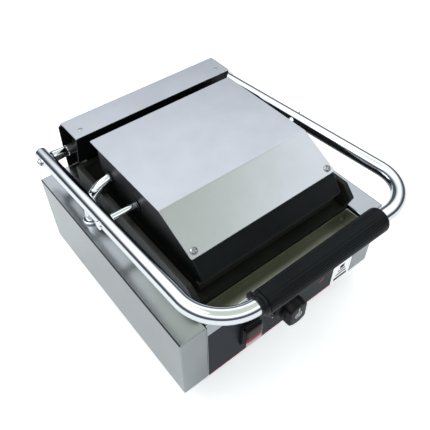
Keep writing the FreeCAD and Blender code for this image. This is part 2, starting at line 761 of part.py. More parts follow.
def spring(side, label):
    """Torsion spring round the shaft, its turns as rings, with one leg down to the deck."""
    pitch = "2.15 * spring_wire"
    start = f"({side} * (bracket_outer - bracket_thick - 6))"
    turns = [ring((f"{start} - {side * i} * {pitch}", PIVOT_Y, PIVOT_Z), "spring_radius",
                  "spring_wire", ALONG_X) for i in range(SPRING_TURNS)]
    spine = rod((f"{start} - {side} * {SPRING_TURNS - 1} / 2 * {pitch} - {SPRING_TURNS / 2} * {pitch}",
                 f"{PIVOT_Y} - spring_radius", PIVOT_Z), "0.8 * spring_wire",
                f"{SPRING_TURNS} * {pitch}", ALONG_X)
    leg = rod((f"{start} - {side * (SPRING_TURNS - 1)} * {pitch}", f"{PIVOT_Y} - spring_radius",
               f"{DECK} + 0.2"), "1.2 * spring_wire", "pivot_rise - 0.4")
    keep(fuse(*turns, spine, leg), label)


# ---------------------------------------------------------------- handle

def handle_plane(back):
    """Height of the handle's middle line at a distance behind the front face."""
    return f"({ROD_Z} + {ARM_SLOPE} * (rod_back - ({back})))"


def tilted(yaw=0):
    """Rotation into the handle's plane, which rises towards the front."""
    tilt = FreeCAD.Rotation(FreeCAD.Vector(1, 0, 0), -math.degrees(math.atan(ARM_SLOPE)))
    return tilt.multiply(FreeCAD.Rotation(yaw, 0, 0))


def handle_run(radius):
    """The bent bar of the handle, solid, at the given radius."""
    stretch = math.sqrt(1 + ARM_SLOPE ** 2)
    bend_y = f"-cross_reach + handle_bend / {stretch}"
    front_z = handle_plane("-cross_reach")
    bend_z = handle_plane(bend_y)
    pieces = []
    for side in (-1, 1):
        x = f"{side} * arm_x"
        arm_length = f"(pivot_back + tube_tail - ({bend_y})) * {stretch}"
        along = tilted().multiply(ALONG_Y)
        pieces.append(rod((x, f"front_y + {bend_y}", bend_z), radius, arm_length, along))
        yaw = 180 if side < 0 else -90
        pieces.append(ring((f"{side} * (arm_x - handle_bend)", f"front_y + {bend_y}", bend_z),
                           "handle_bend", radius, tilted(yaw), 90))
    pieces.append(rod(("-(arm_x - handle_bend)", "front_y - cross_reach", front_z), radius,
                      "2 * (arm_x - handle_bend)", ALONG_X))
    return fuse(*pieces)


def handle_tube():
    """One bent chromed tube: two arms and the cross bar under the grip."""
    tube = cut(handle_run("tube_radius"), handle_run("tube_radius - tube_wall"))
    holes = []
    for side in (-1, 1):
        inner = f"{side} * arm_x - 12"
        holes.append(rod((inner, PIVOT_Y, PIVOT_Z), "bolt_radius + running_fit", "24", ALONG_X))
        holes.append(rod((inner, ROD_Y, ROD_Z), "rod_radius + running_fit", "24", ALONG_X))
    keep(cut(tube, *holes), "handle_tube")


def tube_plugs():
    """Flat-headed plugs in the open rear ends of the handle's tube."""
    end = "(pivot_back + tube_tail)"
    along = tilted().multiply(ALONG_Y)
    plugs = []
    for side in (-1, 1):
        x = f"{side} * arm_x"
        shank = rod((x, f"front_y + {end} - plug_length", handle_plane(f"{end} - plug_length")),
                    "tube_radius - tube_wall", "plug_length", along)
        head = rod((x, f"front_y + {end}", handle_plane(end)), "tube_radius", "plug_head", along)
        plugs.append(fuse(shank, head))
    keep(group(*plugs), "tube_plugs")


def grip():
    """Black tapered grip round the cross bar, domed at its right end, with a collar."""
    body = new_body("handle_grip")
    bore = "(tube_radius + running_fit)"
    revolve(body, "XZ_Plane", [
        ("grip_left", bore), ("grip_left", "grip_thin - 1"), ("grip_left + 1.5", "grip_thin"),
        ("grip_right - grip_dome", "grip_thick"), ("grip_right - 0.3 * grip_dome", "grip_thick - 2"),
        ("grip_right", "grip_thick - 5"), ("grip_right", bore)],
        ("0", "front_y - cross_reach", handle_plane("-cross_reach")))
    z = handle_plane("-cross_reach")
    collar = rod(("grip_left - collar_width", "front_y - cross_reach", z), "collar_radius",
                 "collar_width - 0.2", ALONG_X)
    hole = rod(("grip_left - collar_width - 1", "front_y - cross_reach", z),
               "tube_radius + 0.3", "collar_width + 2", ALONG_X)
    keep(cut(collar, hole), "grip_collar")


def pivot_parts():
    """Shaft in the hinge, and at each end a spacer, a bolt through the arm and a cap nut."""
    half = "(housing_half + 0.5)"
    shaft = rod((f"-{half}", PIVOT_Y, PIVOT_Z), "pivot_radius", f"2 * {half}", ALONG_X)
    sockets = [rod((f"{side} * ({half} - 10) - 11", PIVOT_Y, PIVOT_Z), "bolt_radius", "22",
                   ALONG_X) for side in (-1, 1)]
    keep(cut(shaft, *sockets), "pivot_shaft")
    spacers = []
    bolts = []
    length = f"(arm_x - tube_radius - {half} + 1)"
    for side in (-1, 1):
        centre = f"{side} * ({half} + {length} / 2)"
        sleeve = rod((f"{centre} - {length} / 2", PIVOT_Y, PIVOT_Z), "spacer_radius", length,
                     ALONG_X)
        bore = rod((f"{centre} - {length}", PIVOT_Y, PIVOT_Z), "bolt_radius",
                   f"2 * {length}", ALONG_X)
        arm = rod((f"{side} * arm_x", f"{PIVOT_Y} - 20", handle_plane("pivot_back - 20")),
                  "tube_radius + running_fit", "40", tilted().multiply(ALONG_Y))
        spacers.append(cut(sleeve, bore, arm))
        outer = "(arm_x + tube_radius)"
        reach = f"({outer} - {half} + 10)"
        middle = f"{side} * ({half} - 10 + {reach} / 2)"
        shank = rod((f"{middle} - {reach} / 2", PIVOT_Y, PIVOT_Z), "bolt_radius", reach, ALONG_X)
        nut_middle = f"{side} * ({outer} + nut_length / 4)"
        nut = rod((f"{nut_middle} - nut_length / 4", PIVOT_Y, PIVOT_Z), "nut_radius",
                  "nut_length / 2", ALONG_X)
        cap = rod((f"{side} * ({outer} + 0.75 * nut_length) - nut_length / 4", PIVOT_Y, PIVOT_Z),
                  "0.8 * nut_radius", "nut_length / 2", ALONG_X)
        bolts.append(fuse(shank, nut, cap))
    keep(group(*spacers), "pivot_spacers")
    keep(group(*bolts), "pivot_bolts")


def lid_rod(side, label):
    """Chromed pin from the arm into the side of the lid, with a flat head outside the arm."""
    outer = "(arm_x + tube_radius)"
    length = f"({outer} - rod_inner)"
    start = f"{side} * (rod_inner + {length} / 2) - {length} / 2"
    pin = rod((start, ROD_Y, ROD_Z), "rod_radius", length, ALONG_X)
    head = rod((f"{side} * ({outer} + 0.8) - 0.8", ROD_Y, ROD_Z), "rod_radius + 0.6", "1.6", ALONG_X)
    keep(fuse(pin, head), label)


# ---------------------------------------------------------------- lid

def lid_cover():
    """Stainless cover of the lid: flat on top, creased, and slanting down at the front."""
    body = new_body("lid_cover")
    top = f"({DECK} + lid_rise)"
    low = f"({DECK} + slant_rise)"
    extrude(body, "YZ_Plane", "-lid_half", "2 * lid_half", outlines=[[
        ("front_y + lid_end", top), ("front_y + crease_back", top),
        ("front_y + slant_back", low), ("front_y + slant_back + 0.45 * skin", f"{low} - 0.9 * skin"),
        ("front_y + crease_back + 0.3 * skin", f"{top} - skin"),
        ("front_y + lid_end", f"{top} - skin")]])


def lid_frame():
    """Black frame of the lid: side and back walls and the sloping band at the front."""
    body = new_body("lid_frame")
    low = f"({DECK} + slant_rise - 0.9 * skin)"
    extrude(body, "YZ_Plane", "-frame_half", "2 * frame_half", outlines=[[
        ("front_y + frame_end", FRAME_BASE), ("front_y + frame_end", FRAME_TOP),
        ("front_y + crease_back + 0.3 * skin", FRAME_TOP),
        ("front_y + slant_back + 0.45 * skin", low),
        ("front_y + band_back", f"{DECK} + band_rise"),
        ("front_y + band_back + band_lip", f"{DECK} + band_rise - band_lip"),
        ("front_y + recess_back", f"{DECK} + band_rise - band_lip"),
        ("front_y + recess_back", FRAME_BASE)]])
    inside = "(frame_half - frame_wall)"
    extrude(body, "XY_Plane", f"{FRAME_BASE} - 1", "lid_rise", kind="Pocket", outlines=[
        rectangle((f"-{inside}", "front_y + slant_back + 2 * skin"),
                  (inside, "front_y + frame_end - frame_wall"))])
    extrude(body, "YZ_Plane", "-frame_half - 1", "2 * frame_half + 2", kind="Pocket",
            circles=[((ROD_Y, ROD_Z), "bush_radius")])
    extrude(body, "YZ_Plane", "-frame_half - 1", "4", kind="Pocket",
            circles=[((CONDUIT_Y, f"{DECK} + conduit_rise"), "conduit_radius + 0.8")])


def upper_plate():
    """Cast iron upper plate, ribbed underneath."""
    body = new_body("upper_plate")
    half = "(frame_half - 0.3)"
    start = "(front_y + upper_plate_back)"
    end = "(front_y + frame_end)"
    extrude(body, "XY_Plane", LID_BASE, "plate_thick",
            outlines=[rectangle((f"-{half}", start), (half, end))])
    extrude(body, "XY_Plane", f"{LID_BASE} - 1", "rib_depth + 1", kind="Pocket",
            outlines=rib_outlines(half, f"{start} + rib_end", f"{end} - rib_end"))


def lid_internals():
    """Element, clamp plate and wool above the upper plate, and the fittings of the lid."""
    heater(f"{FRAME_BASE} + heater_radius + 0.2", "upper_heating_element")
    keep(box(("-90", "front_y + 48", f"{FRAME_BASE} + 9.4"), ("180", "152", "1")),
         "upper_clamp_plate")
    keep(box(("-82", "front_y + 50", f"{FRAME_BASE} + 11"), ("164", "148", "20")),
         "upper_insulation")
    bushes = []
    for side in (-1, 1):
        start = f"{side} * (frame_half - frame_wall / 2 - 4) - 5"
        barrel = rod((start, ROD_Y, ROD_Z), "bush_radius", "10", ALONG_X)
        flange = rod((f"{side} * (frame_half + 0.6) - 0.6", ROD_Y, ROD_Z), "bush_flange", "1.2",
                     ALONG_X)
        bore = rod((f"{start} - 4", ROD_Y, ROD_Z), "rod_radius + running_fit", "20", ALONG_X)
        bushes.append(cut(fuse(barrel, flange), bore))
    keep(group(*bushes), "rod_bushes")


def lid_screws():
    """Two cross-head screws through the lower corners of the slanting cover."""
    drop = math.degrees(math.atan2(DIMENSIONS["lid_rise"] - DIMENSIONS["slant_rise"],
                                   DIMENSIONS["crease_back"] - DIMENSIONS["slant_back"]))
    up = FreeCAD.Rotation(FreeCAD.Vector(1, 0, 0), drop)
    screws = []
    for side in (-1, 1):
        at = (f"{side} * (lid_half - 7)", "front_y + slant_back + 6",
              f"{DECK} + slant_rise + 6 * (lid_rise - slant_rise) / (crease_back - slant_back)")
        screws.append(rod(at, "lid_screw_radius", "1.4", up))
    keep(group(*screws), "lid_screws")


def conduit():
    """Chromed armoured conduit: out of the lid's left side, round and down into the cheek."""
    x = "-(conduit_start + conduit_bend)"
    z = f"({DECK} + conduit_rise)"
    upright = FreeCAD.Rotation(FreeCAD.Vector(1, 0, 0), 90)
    bend = ring(("-conduit_start", CONDUIT_Y, f"{z} - conduit_bend"), "conduit_bend",
                "conduit_radius", upright.multiply(FreeCAD.Rotation(90, 0, 0)), 90)
    down = rod((x, CONDUIT_Y, f"{z} - conduit_bend - conduit_tail"), "conduit_radius",
               "conduit_tail")
    level = rod(("-conduit_start", CONDUIT_Y, z), "conduit_radius", "5", ALONG_X)
    keep(fuse(bend, down, level), "lid_conduit")
    grommet = ring((x, CONDUIT_Y, f"{DECK} + 0.4 * ring_wire"), "ring_radius - ring_wire",
                   "ring_wire")
    above = box((f"{x} - 2 * ring_radius", f"{CONDUIT_Y} - 2 * ring_radius", DECK),
                ("4 * ring_radius", "4 * ring_radius", "2 * ring_radius"))
    hole = rod((x, CONDUIT_Y, f"{DECK} - 5"), "conduit_radius + 0.2", "20")
    keep(cut(common(grommet, above), hole), "conduit_ring")
    gland = rod(("-(frame_half + 2)", CONDUIT_Y, z), "conduit_radius + 2.4", "1.8", ALONG_X)
    passage = rod(("-(frame_half + 4)", CONDUIT_Y, z), "conduit_radius + 1", "8", ALONG_X)
    keep(cut(gland, passage), "conduit_gland")


def build():
    fill_sheet()
    cheek(-1, "left_cheek")
    cheek(1, "right_cheek")
    front_panel()
    control_decal()
    blank_label()
    rear_panel()
    base_pan()
    feet()
    cable_gland()
    terminal_block()
    wires()
    thermostat()
    knob()
    switch()
    lower_plate()
    plate_rails()
    lower_heat_pack()
    grease_trough()
    hinge_housing()
    hinge_cover()
    hinge_bracket(-1, "hinge_bracket_left")
    hinge_bracket(1, "hinge_bracket_right")
    hinge_internals()
    handle_tube()
    tube_plugs()
    grip()
    pivot_parts()
    lid_rod(-1, "lid_rod_left")
    lid_rod(1, "lid_rod_right")
    lid_cover()
    lid_frame()
    upper_plate()
    lid_internals()
    lid_screws()
    conduit()
    doc.recompute()


def check_document():
    """Stop before anything is written if a feature failed or a cut took nothing away."""
    for thing in doc.Objects:
        if "Invalid" in thing.State or "Error" in thing.State:
            raise SystemExit(f"{thing.Name} {thing.Label} failed: {thing.State}")
        if thing.TypeId == "PartDesign::Pocket":
            before = thing.BaseFeature.Shape.Volume
            if thing.Shape.Volume > before - 1e-3:
                raise SystemExit(f"{thing.Name} cuts nothing")
    for part in subparts:
        if part.Shape.isNull() or not part.Shape.isValid() or not part.Shape.Solids:
            raise SystemExit(f"{part.Label} has no valid shape")


def export():
    os.makedirs("parts", exist_ok=True)
    for part in subparts:
        part.Shape.exportStep(f"parts/{part.Label}.step")
        extent = part.Shape.BoundBox
        print(f"{part.Label:24s} {part.Shape.Volume / 1000:9.2f} cm3  "
              f"x {extent.XMin:7.1f} {extent.XMax:7.1f}  y {extent.YMin:7.1f} {extent.YMax:7.1f}"
              f"  z {extent.ZMin:6.1f} {extent.ZMax:6.1f}  solids {len(part.Shape.Solids)}")


build()
check_document()
export()
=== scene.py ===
"""Looks of the panini press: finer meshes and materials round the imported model, in metres.

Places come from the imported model's boxes and joints. A size that they don't give is named beside the
piece that it belongs to.
"""
import json
import math

import bmesh
import bpy
from mathutils import Matrix, Vector

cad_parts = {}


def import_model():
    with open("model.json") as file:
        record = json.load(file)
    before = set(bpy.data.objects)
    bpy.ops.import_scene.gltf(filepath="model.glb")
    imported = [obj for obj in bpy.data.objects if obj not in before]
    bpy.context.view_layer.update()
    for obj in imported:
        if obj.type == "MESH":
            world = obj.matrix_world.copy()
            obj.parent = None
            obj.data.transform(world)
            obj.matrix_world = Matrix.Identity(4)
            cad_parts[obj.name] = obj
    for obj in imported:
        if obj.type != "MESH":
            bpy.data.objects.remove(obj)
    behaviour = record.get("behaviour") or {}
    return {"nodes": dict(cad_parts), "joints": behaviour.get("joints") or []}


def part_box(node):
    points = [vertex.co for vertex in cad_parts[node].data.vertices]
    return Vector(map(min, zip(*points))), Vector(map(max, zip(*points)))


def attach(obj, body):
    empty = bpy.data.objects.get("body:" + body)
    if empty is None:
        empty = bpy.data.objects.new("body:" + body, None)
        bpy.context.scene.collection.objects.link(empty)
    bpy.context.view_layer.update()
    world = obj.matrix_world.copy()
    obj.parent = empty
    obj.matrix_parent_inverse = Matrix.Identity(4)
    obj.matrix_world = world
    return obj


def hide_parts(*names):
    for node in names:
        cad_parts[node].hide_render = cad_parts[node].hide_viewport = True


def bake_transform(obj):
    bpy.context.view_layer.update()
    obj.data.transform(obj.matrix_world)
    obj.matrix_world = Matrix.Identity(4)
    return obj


MM = 0.001
UP = Vector((0, 0, 1))
ALONG_X = Vector((1, 0, 0))
ALONG_Y = Vector((0, 1, 0))
SHEET_EDGE = 2.5 * MM       # a shorter edge is only as long as a sheet is thick
PRINT = 0.05 * MM           # how deep printed marks reach into the film below them

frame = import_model()
nodes = frame["nodes"]
joints = {joint["name"]: Vector(joint["pos_m"]) for joint in frame["joints"]}
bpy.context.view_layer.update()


def middle(node):
    """Centre of a CAD node's box."""
    low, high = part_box(node)
    return (low + high) / 2


# ---------------------------------------------------------------- mesh helpers

def mesh_object(name, points, faces):
    """Object from points and faces, its normals turned outwards."""
    mesh = bpy.data.meshes.new(name)
    mesh.from_pydata([tuple(point) for point in points], [], faces)
    work = bmesh.new()
    work.from_mesh(mesh)
    bmesh.ops.recalc_face_normals(work, faces=work.faces)
    work.to_mesh(mesh)
    work.free()
    thing = bpy.data.objects.new(name, mesh)
    bpy.context.scene.collection.objects.link(thing)
    return thing


def smooth(thing, angle=35):
    """Smooth shading, broken where faces meet at more than the angle."""
    thing.data.shade_smooth()
    thing.data.set_sharp_from_angle(angle=math.radians(angle))
    return thing


def bevelled(thing, width, angle=35, steps=3):
    """Round edges on every corner sharper than the angle."""
    bevel = thing.modifiers.new("edges", "BEVEL")
    bevel.width = width
    bevel.segments = steps
    bevel.limit_method = "ANGLE"
    bevel.angle_limit = math.radians(angle)
    bevel.harden_normals = True
    return smooth(thing, 180)


def applied(thing):
    """The object with its modifiers worked into its mesh."""
    graph = bpy.context.evaluated_depsgraph_get()
    mesh = bpy.data.meshes.new_from_object(thing.evaluated_get(graph))
    thing.modifiers.clear()
    thing.data = mesh
    return thing


def joined(name, things):
    """One object from several, each with its modifiers applied first."""
    work = bmesh.new()
    for thing in things:
        applied(thing)
        thing.data.transform(thing.matrix_world)
        work.from_mesh(thing.data)
        bpy.data.objects.remove(thing)
    mesh = bpy.data.meshes.new(name)
    work.to_mesh(mesh)
    work.free()
    whole = bpy.data.objects.new(name, mesh)
    bpy.context.scene.collection.objects.link(whole)
    return whole


def rounded_line(corners, steps=5):
    """A line of (a, b, radius) corners in a plane, each rounded to its radius."""
    line = []
    last = len(corners) - 1
    for i, (a, b, radius) in enumerate(corners):
        corner = Vector((a, b))
        if i in (0, last) or radius == 0:
            line.append(corner)
            continue
        back = (Vector(corners[i - 1][:2]) - corner).normalized()
        ahead = (Vector(corners[i + 1][:2]) - corner).normalized()
        opening = back.angle(ahead)
        reach = radius / math.tan(opening / 2)
        centre = corner + (back + ahead).normalized() * radius / math.sin(opening / 2)
        first = corner + back * reach - centre
        turn = math.pi - opening
        if first.x * ahead.y - first.y * ahead.x < 0:
            turn = -turn
        for step in range(steps + 1):
            spin = Matrix.Rotation(turn * step / steps, 2)
            line.append(centre + spin @ first)
    return line


def wall_faces(rings, sides, closed=False):
    """Faces between rings of points listed one after the other, and back to the first if closed."""
    faces = []
    for ring in range(rings if closed else rings - 1):
        first = ring * sides
        second = (ring + 1) % rings * sides
        for side in range(sides):
            after = (side + 1) % sides
            faces.append((first + side, first + after, second + after, second + side))
    return faces


def end_faces(rings, sides):
    """Faces that close the first and the last ring."""
    return [tuple(range(sides)), tuple(range((rings - 1) * sides, rings * sides))]


def turned(name, corners, start, along, sides=64, ripple=None):
    """Solid of revolution: corners are (distance, radius, rounding) from start, along a direction."""
    line = rounded_line(corners)
    turn = along.to_track_quat("Z", "Y").to_matrix()
    points = []
    for distance, radius in line:
        for side in range(sides):
            angle = 2 * math.pi * side / sides
            out = radius + (ripple(distance, angle) if ripple else 0)
            points.append(start + turn @ Vector((out * math.cos(angle), out * math.sin(angle),
                                                 distance)))
    faces = wall_faces(len(line), sides) + end_faces(len(line), sides)
    return smooth(mesh_object(name, points, faces))


def swept(name, path, radius, sides=32, closed=False):
    """Round bar along a path, without twist."""
    count = len(path)
    points = []
    across = None
    for i, place in enumerate(path):
        before = path[i - 1] if closed or i else place
        after = path[(i + 1) % count] if closed or i + 1 < count else place
        along = (after - before).normalized()
        if across is None:
            across = along.orthogonal().normalized()
        across = (across - along * across.dot(along)).normalized()
        beside = along.cross(across)
        for side in range(sides):
            angle = 2 * math.pi * side / sides
            points.append(place + radius * (across * math.cos(angle) + beside * math.sin(angle)))
    faces = wall_faces(count, sides, closed)
    if not closed:
        faces += end_faces(count, sides)
    return smooth(mesh_object(name, points, faces))


def prism(name, outline, start, along, across, length):
    """Straight bar with a drawn section: outline points are (across, beside) from start."""
    beside = along.cross(across)
    ends = [start, start + along * length]
    points = [end + across * a + beside * b for end in ends for a, b in outline]
    count = len(outline)
    return mesh_object(name, points, wall_faces(2, count) + end_faces(2, count))


def block(name, low, high):
    """Block between two corners."""
    points = [Vector((x, y, z)) for x in (low.x, high.x) for y in (low.y, high.y)
              for z in (low.z, high.z)]
    faces = [(0, 1, 3, 2), (4, 6, 7, 5), (0, 4, 5, 1), (2, 3, 7, 6), (0, 2, 6, 4), (1, 5, 7, 3)]
    return mesh_object(name, points, faces)


def rounded_rectangle(width, height, corner, steps=6):
    """Points round a rectangle with round corners, about its centre."""
    points = []
    for quarter, (x, z) in enumerate(((1, 1), (-1, 1), (-1, -1), (1, -1))):
        for step in range(steps + 1):
            angle = math.pi / 2 * (quarter + step / steps)
            points.append((x * (width / 2 - corner) + corner * math.cos(angle),
                           z * (height / 2 - corner) + corner * math.sin(angle)))
    return points


def arc(centre, first, second, radius, steps=20):
    """Quarter circle from centre + first to centre + second, both unit directions."""
    return [centre + radius * (first * math.cos(math.pi / 2 * i / steps)
                               + second * math.sin(math.pi / 2 * i / steps))
            for i in range(steps + 1)]


def room_beside(edge):
    """Least distance from an edge to the far edges of its two faces."""
    ends = [vertex.co for vertex in edge.verts]
    gaps = [edge.calc_length()]
    for share in (0.1, 0.3, 0.5, 0.7, 0.9):
        place = ends[0].lerp(ends[1], share)
        for face in edge.link_faces:
            for other in face.edges:
                if set(other.verts) & set(edge.verts):
                    continue
                low, high = (vertex.co for vertex in other.verts)
                run = high - low
                along = max(0.0, min(1.0, (place - low).dot(run) / max(run.length_squared, 1e-12)))
                gaps.append((low + run * along - place).length)
    return min(gaps)


def refined(node, radius, corner=0.0, sharp=20, steps=3):
    """Copy of a CAD node, its flat faces merged and its outward edges rounded where there is room.

    A corner radius rounds the outline of a thin sheet, whose corner edges are as short as it is thick.
    """
    width = max(radius, corner)
    mesh = nodes[node].data.copy()
    work = bmesh.new()
    work.from_mesh(mesh)
    bmesh.ops.remove_doubles(work, verts=work.verts, dist=1e-6)
    bmesh.ops.dissolve_limit(work, angle_limit=math.radians(0.8), verts=work.verts,
                             edges=work.edges)
    weight = work.edges.layers.float.new("bevel_weight_edge")
    for edge in work.edges:
        if not edge.is_manifold or not edge.is_convex:
            continue
        angle = edge.calc_face_angle()
        if corner and edge.calc_length() < SHEET_EDGE and angle > math.radians(60):
            edge[weight] = corner / width
        elif angle > math.radians(sharp):
            edge[weight] = min(radius, 0.42 * room_beside(edge)) / width
    work.to_mesh(mesh)
    work.free()
    thing = bpy.data.objects.new(node + "_finished", mesh)
    bpy.context.scene.collection.objects.link(thing)
    bevel = thing.modifiers.new("edges", "BEVEL")
    bevel.width = width
    bevel.segments = steps
    bevel.limit_method = "WEIGHT"
    bevel.use_clamp_overlap = False
    bevel.harden_normals = True
    return smooth(thing)


# ---------------------------------------------------------------- material helpers

def new_material(name, colour, roughness, metallic=0.0, **constants):
    """Material with a Principled shader; returns it with its node tree and shader."""
    material = bpy.data.materials.new(name)
    material.use_nodes = True
    tree = material.node_tree
    shader = tree.nodes["Principled BSDF"]
    shader.inputs["Base Color"].default_value = (*colour, 1)
    shader.inputs["Roughness"].default_value = roughness
    shader.inputs["Metallic"].default_value = metallic
    for socket, value in constants.items():
        shader.inputs[socket.replace("_", " ")].default_value = value
    material.diffuse_color = (*colour, 1)
    return material, tree, shader


def shade(colour, share):
    """A colour made darker or lighter by a factor."""
    return [share * part for part in colour]


def noise(tree, size, detail=3.0, stretch=(1, 1, 1)):
    """Noise whose features are about one size in metres, drawn out by the stretch."""
    place = tree.nodes.new("ShaderNodeTexCoord")
    mapping = tree.nodes.new("ShaderNodeMapping")
    mapping.inputs["Scale"].default_value = [1 / (size * times) for times in stretch]
    texture = tree.nodes.new("ShaderNodeTexNoise")
    texture.inputs["Scale"].default_value = 1.0
    texture.inputs["Detail"].default_value = detail
    tree.links.new(place.outputs["Object"], mapping.inputs["Vector"])
    tree.links.new(mapping.outputs["Vector"], texture.inputs["Vector"])
    return texture.outputs["Fac"]


def height_in(tree, space="Object"):
    """Height of the shaded point in one of the coordinate spaces."""
    place = tree.nodes.new("ShaderNodeTexCoord")
    split = tree.nodes.new("ShaderNodeSeparateXYZ")
    tree.links.new(place.outputs[space], split.inputs["Vector"])
    return split.outputs["Z"]


def spread(tree, value, low, high, start=0.3, end=0.7):
    """The value's range from start to end, spread over low to high."""
    ranged = tree.nodes.new("ShaderNodeMapRange")
    for socket, number in (("From Min", start), ("From Max", end), ("To Min", low),
                           ("To Max", high)):
        ranged.inputs[socket].default_value = number
    tree.links.new(value, ranged.inputs["Value"])
    return ranged.outputs["Result"]


def colour_ramp(tree, factor, stops):
    """Colour that runs through stops of (position, colour), first to last, as a factor rises."""
    ramp = tree.nodes.new("ShaderNodeValToRGB")
    bands = ramp.color_ramp.elements
    for band, (position, colour) in zip(bands, (stops[0], stops[-1])):
        band.position = position
        band.color = (*colour, 1)
    for position, colour in stops[1:-1]:
        band = bands.new(position)
        band.color = (*colour, 1)
    tree.links.new(factor, ramp.inputs["Fac"])
    return ramp.outputs["Color"]


def relief(tree, shader, height, depth):
    """Bump of a depth in metres."""
    bump = tree.nodes.new("ShaderNodeBump")
    bump.inputs["Strength"].default_value = 1.0
    bump.inputs["Distance"].default_value = depth
    tree.links.new(height, bump.inputs["Height"])
    tree.links.new(bump.outputs["Normal"], shader.inputs["Normal"])


def mixed(tree, factor):
    """Colour mix, with its factor linked."""
    mix = tree.nodes.new("ShaderNodeMix")
    mix.data_type = "RGBA"
    tree.links.new(factor, mix.inputs["Factor"])
    return mix


def tinted(tree, shader, factor, first, second):
    """Base colour between two colours by a factor."""
    mix = mixed(tree, factor)
    mix.inputs["A"].default_value = (*first, 1)
    mix.inputs["B"].default_value = (*second, 1)
    tree.links.new(mix.outputs["Result"], shader.inputs["Base Color"])
    return mix


# ---------------------------------------------------------------- materials

def painted_fold_reflection(tree, across, up):
    """Factor that is 1 on a fold along Y, at a distance from the middle and a height: the mask of a
    painted dark reflection.
    """
    place = tree.nodes.new("ShaderNodeTexCoord")
    mirrored = tree.nodes.new("ShaderNodeVectorMath")
    mirrored.operation = "ABSOLUTE"
    flat = tree.nodes.new("ShaderNodeVectorMath")
    flat.operation = "MULTIPLY"
    flat.inputs[1].default_value = (1, 0, 1)
    gap = tree.nodes.new("ShaderNodeVectorMath")
    gap.operation = "DISTANCE"
    gap.inputs[1].default_value = (across, 0, up)
    tree.links.new(place.outputs["Object"], mirrored.inputs[0])
    tree.links.new(mirrored.outputs["Vector"], flat.inputs[0])
    tree.links.new(flat.outputs["Vector"], gap.inputs[0])
    return spread(tree, gap.outputs["Value"], 1, 0, 0.7 * MM, 1.7 * MM)


def brushed(name, grain, light, rough, depth, fold=None):
    """Satin sheet steel whose fine lines run along the grain direction, with a painted dark reflection
    along a fold.
    """
    material, tree, shader = new_material(name, light, rough[0], 1.0)
    line_length = 16
    stretch = [line_length if part else 1 for part in grain]
    lines = noise(tree, 0.0003, 3, stretch)
    clouds = noise(tree, 0.035, 3)
    tree.links.new(spread(tree, lines, *rough), shader.inputs["Roughness"])
    mix = tinted(tree, shader, spread(tree, clouds, 0, 1), light, shade(light, 0.93))
    if fold:
        # Painted dark reflection: the base colour turns nearly black along the fold.
        edge = mixed(tree, painted_fold_reflection(tree, *fold))
        tree.links.new(mix.outputs["Result"], edge.inputs["A"])
        edge.inputs["B"].default_value = (0.03, 0.03, 0.03, 1)
        tree.links.new(edge.outputs["Result"], shader.inputs["Base Color"])
    relief(tree, shader, lines, depth)
    return material


def chrome():
    """Bright plate with a slight waviness."""
    material, tree, shader = new_material("chrome", (0.88, 0.90, 0.93), 0.05, 1.0)
    waves = noise(tree, 0.012, 2)
    tree.links.new(spread(tree, waves, 0.03, 0.07), shader.inputs["Roughness"])
    relief(tree, shader, waves, 0.00004)
    return material


def grained_black(name, colour, rough, grain, depth, gloss=0.3):
    """Black finish with a fine grain: enamel, casting or moulded plastic."""
    material, tree, shader = new_material(name, colour, rough[0], Specular_IOR_Level=gloss)
    grains = noise(tree, grain, 4)
    clouds = noise(tree, 0.03, 3)
    tree.links.new(spread(tree, grains, *rough), shader.inputs["Roughness"])
    tinted(tree, shader, spread(tree, clouds, 0, 1), colour, shade(colour, 1.7))
    relief(tree, shader, grains, depth)
    return material


def plain_metal(name, colour, rough, grain=0.002):
    """Machined or oxidised metal with clouded roughness."""
    material, tree, shader = new_material(name, colour, rough[0], 1.0)
    clouds = noise(tree, grain, 4)
    tree.links.new(spread(tree, clouds, *rough), shader.inputs["Roughness"])
    tinted(tree, shader, clouds, colour, shade(colour, 0.8))
    relief(tree, shader, clouds, 0.00002)
    return material


def overlay():
    """Slate printed film with a red line along its lower edge."""
    slate = (0.014, 0.019, 0.027)
    red = (0.42, 0.0, 0.03)
    line = 2.0 * MM
    material, tree, shader = new_material("overlay", slate, 0.35, Specular_IOR_Level=0.12)
    below = tree.nodes.new("ShaderNodeMath")
    below.operation = "LESS_THAN"
    below.inputs[1].default_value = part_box("control_decal")[0].z + line
    tree.links.new(height_in(tree), below.inputs[0])
    tinted(tree, shader, below.outputs["Value"], slate, red)
    grains = noise(tree, 0.0006, 3)
    tree.links.new(spread(tree, grains, 0.3, 0.42), shader.inputs["Roughness"])
    relief(tree, shader, grains, 0.00001)
    return material


def satin(name, colour, rough, grain=0.001, depth=0.00001, **constants):
    """Paper, rubber, print or porcelain with a faint grain."""
    material, tree, shader = new_material(name, colour, rough[0], **constants)
    grains = noise(tree, grain, 3)
    tree.links.new(spread(tree, grains, *rough), shader.inputs["Roughness"])
    tinted(tree, shader, grains, colour, shade(colour, 0.88))
    relief(tree, shader, grains, depth)
    return material


def lamp_red():
    """Translucent red rocker lit from inside."""
    material = satin("lamp_red", (0.62, 0.01, 0.02), (0.15, 0.25), Emission_Strength=0.35)
    shader = material.node_tree.nodes["Principled BSDF"]
    shader.inputs["Emission Color"].default_value = (1.0, 0.02, 0.04, 1)
    return material


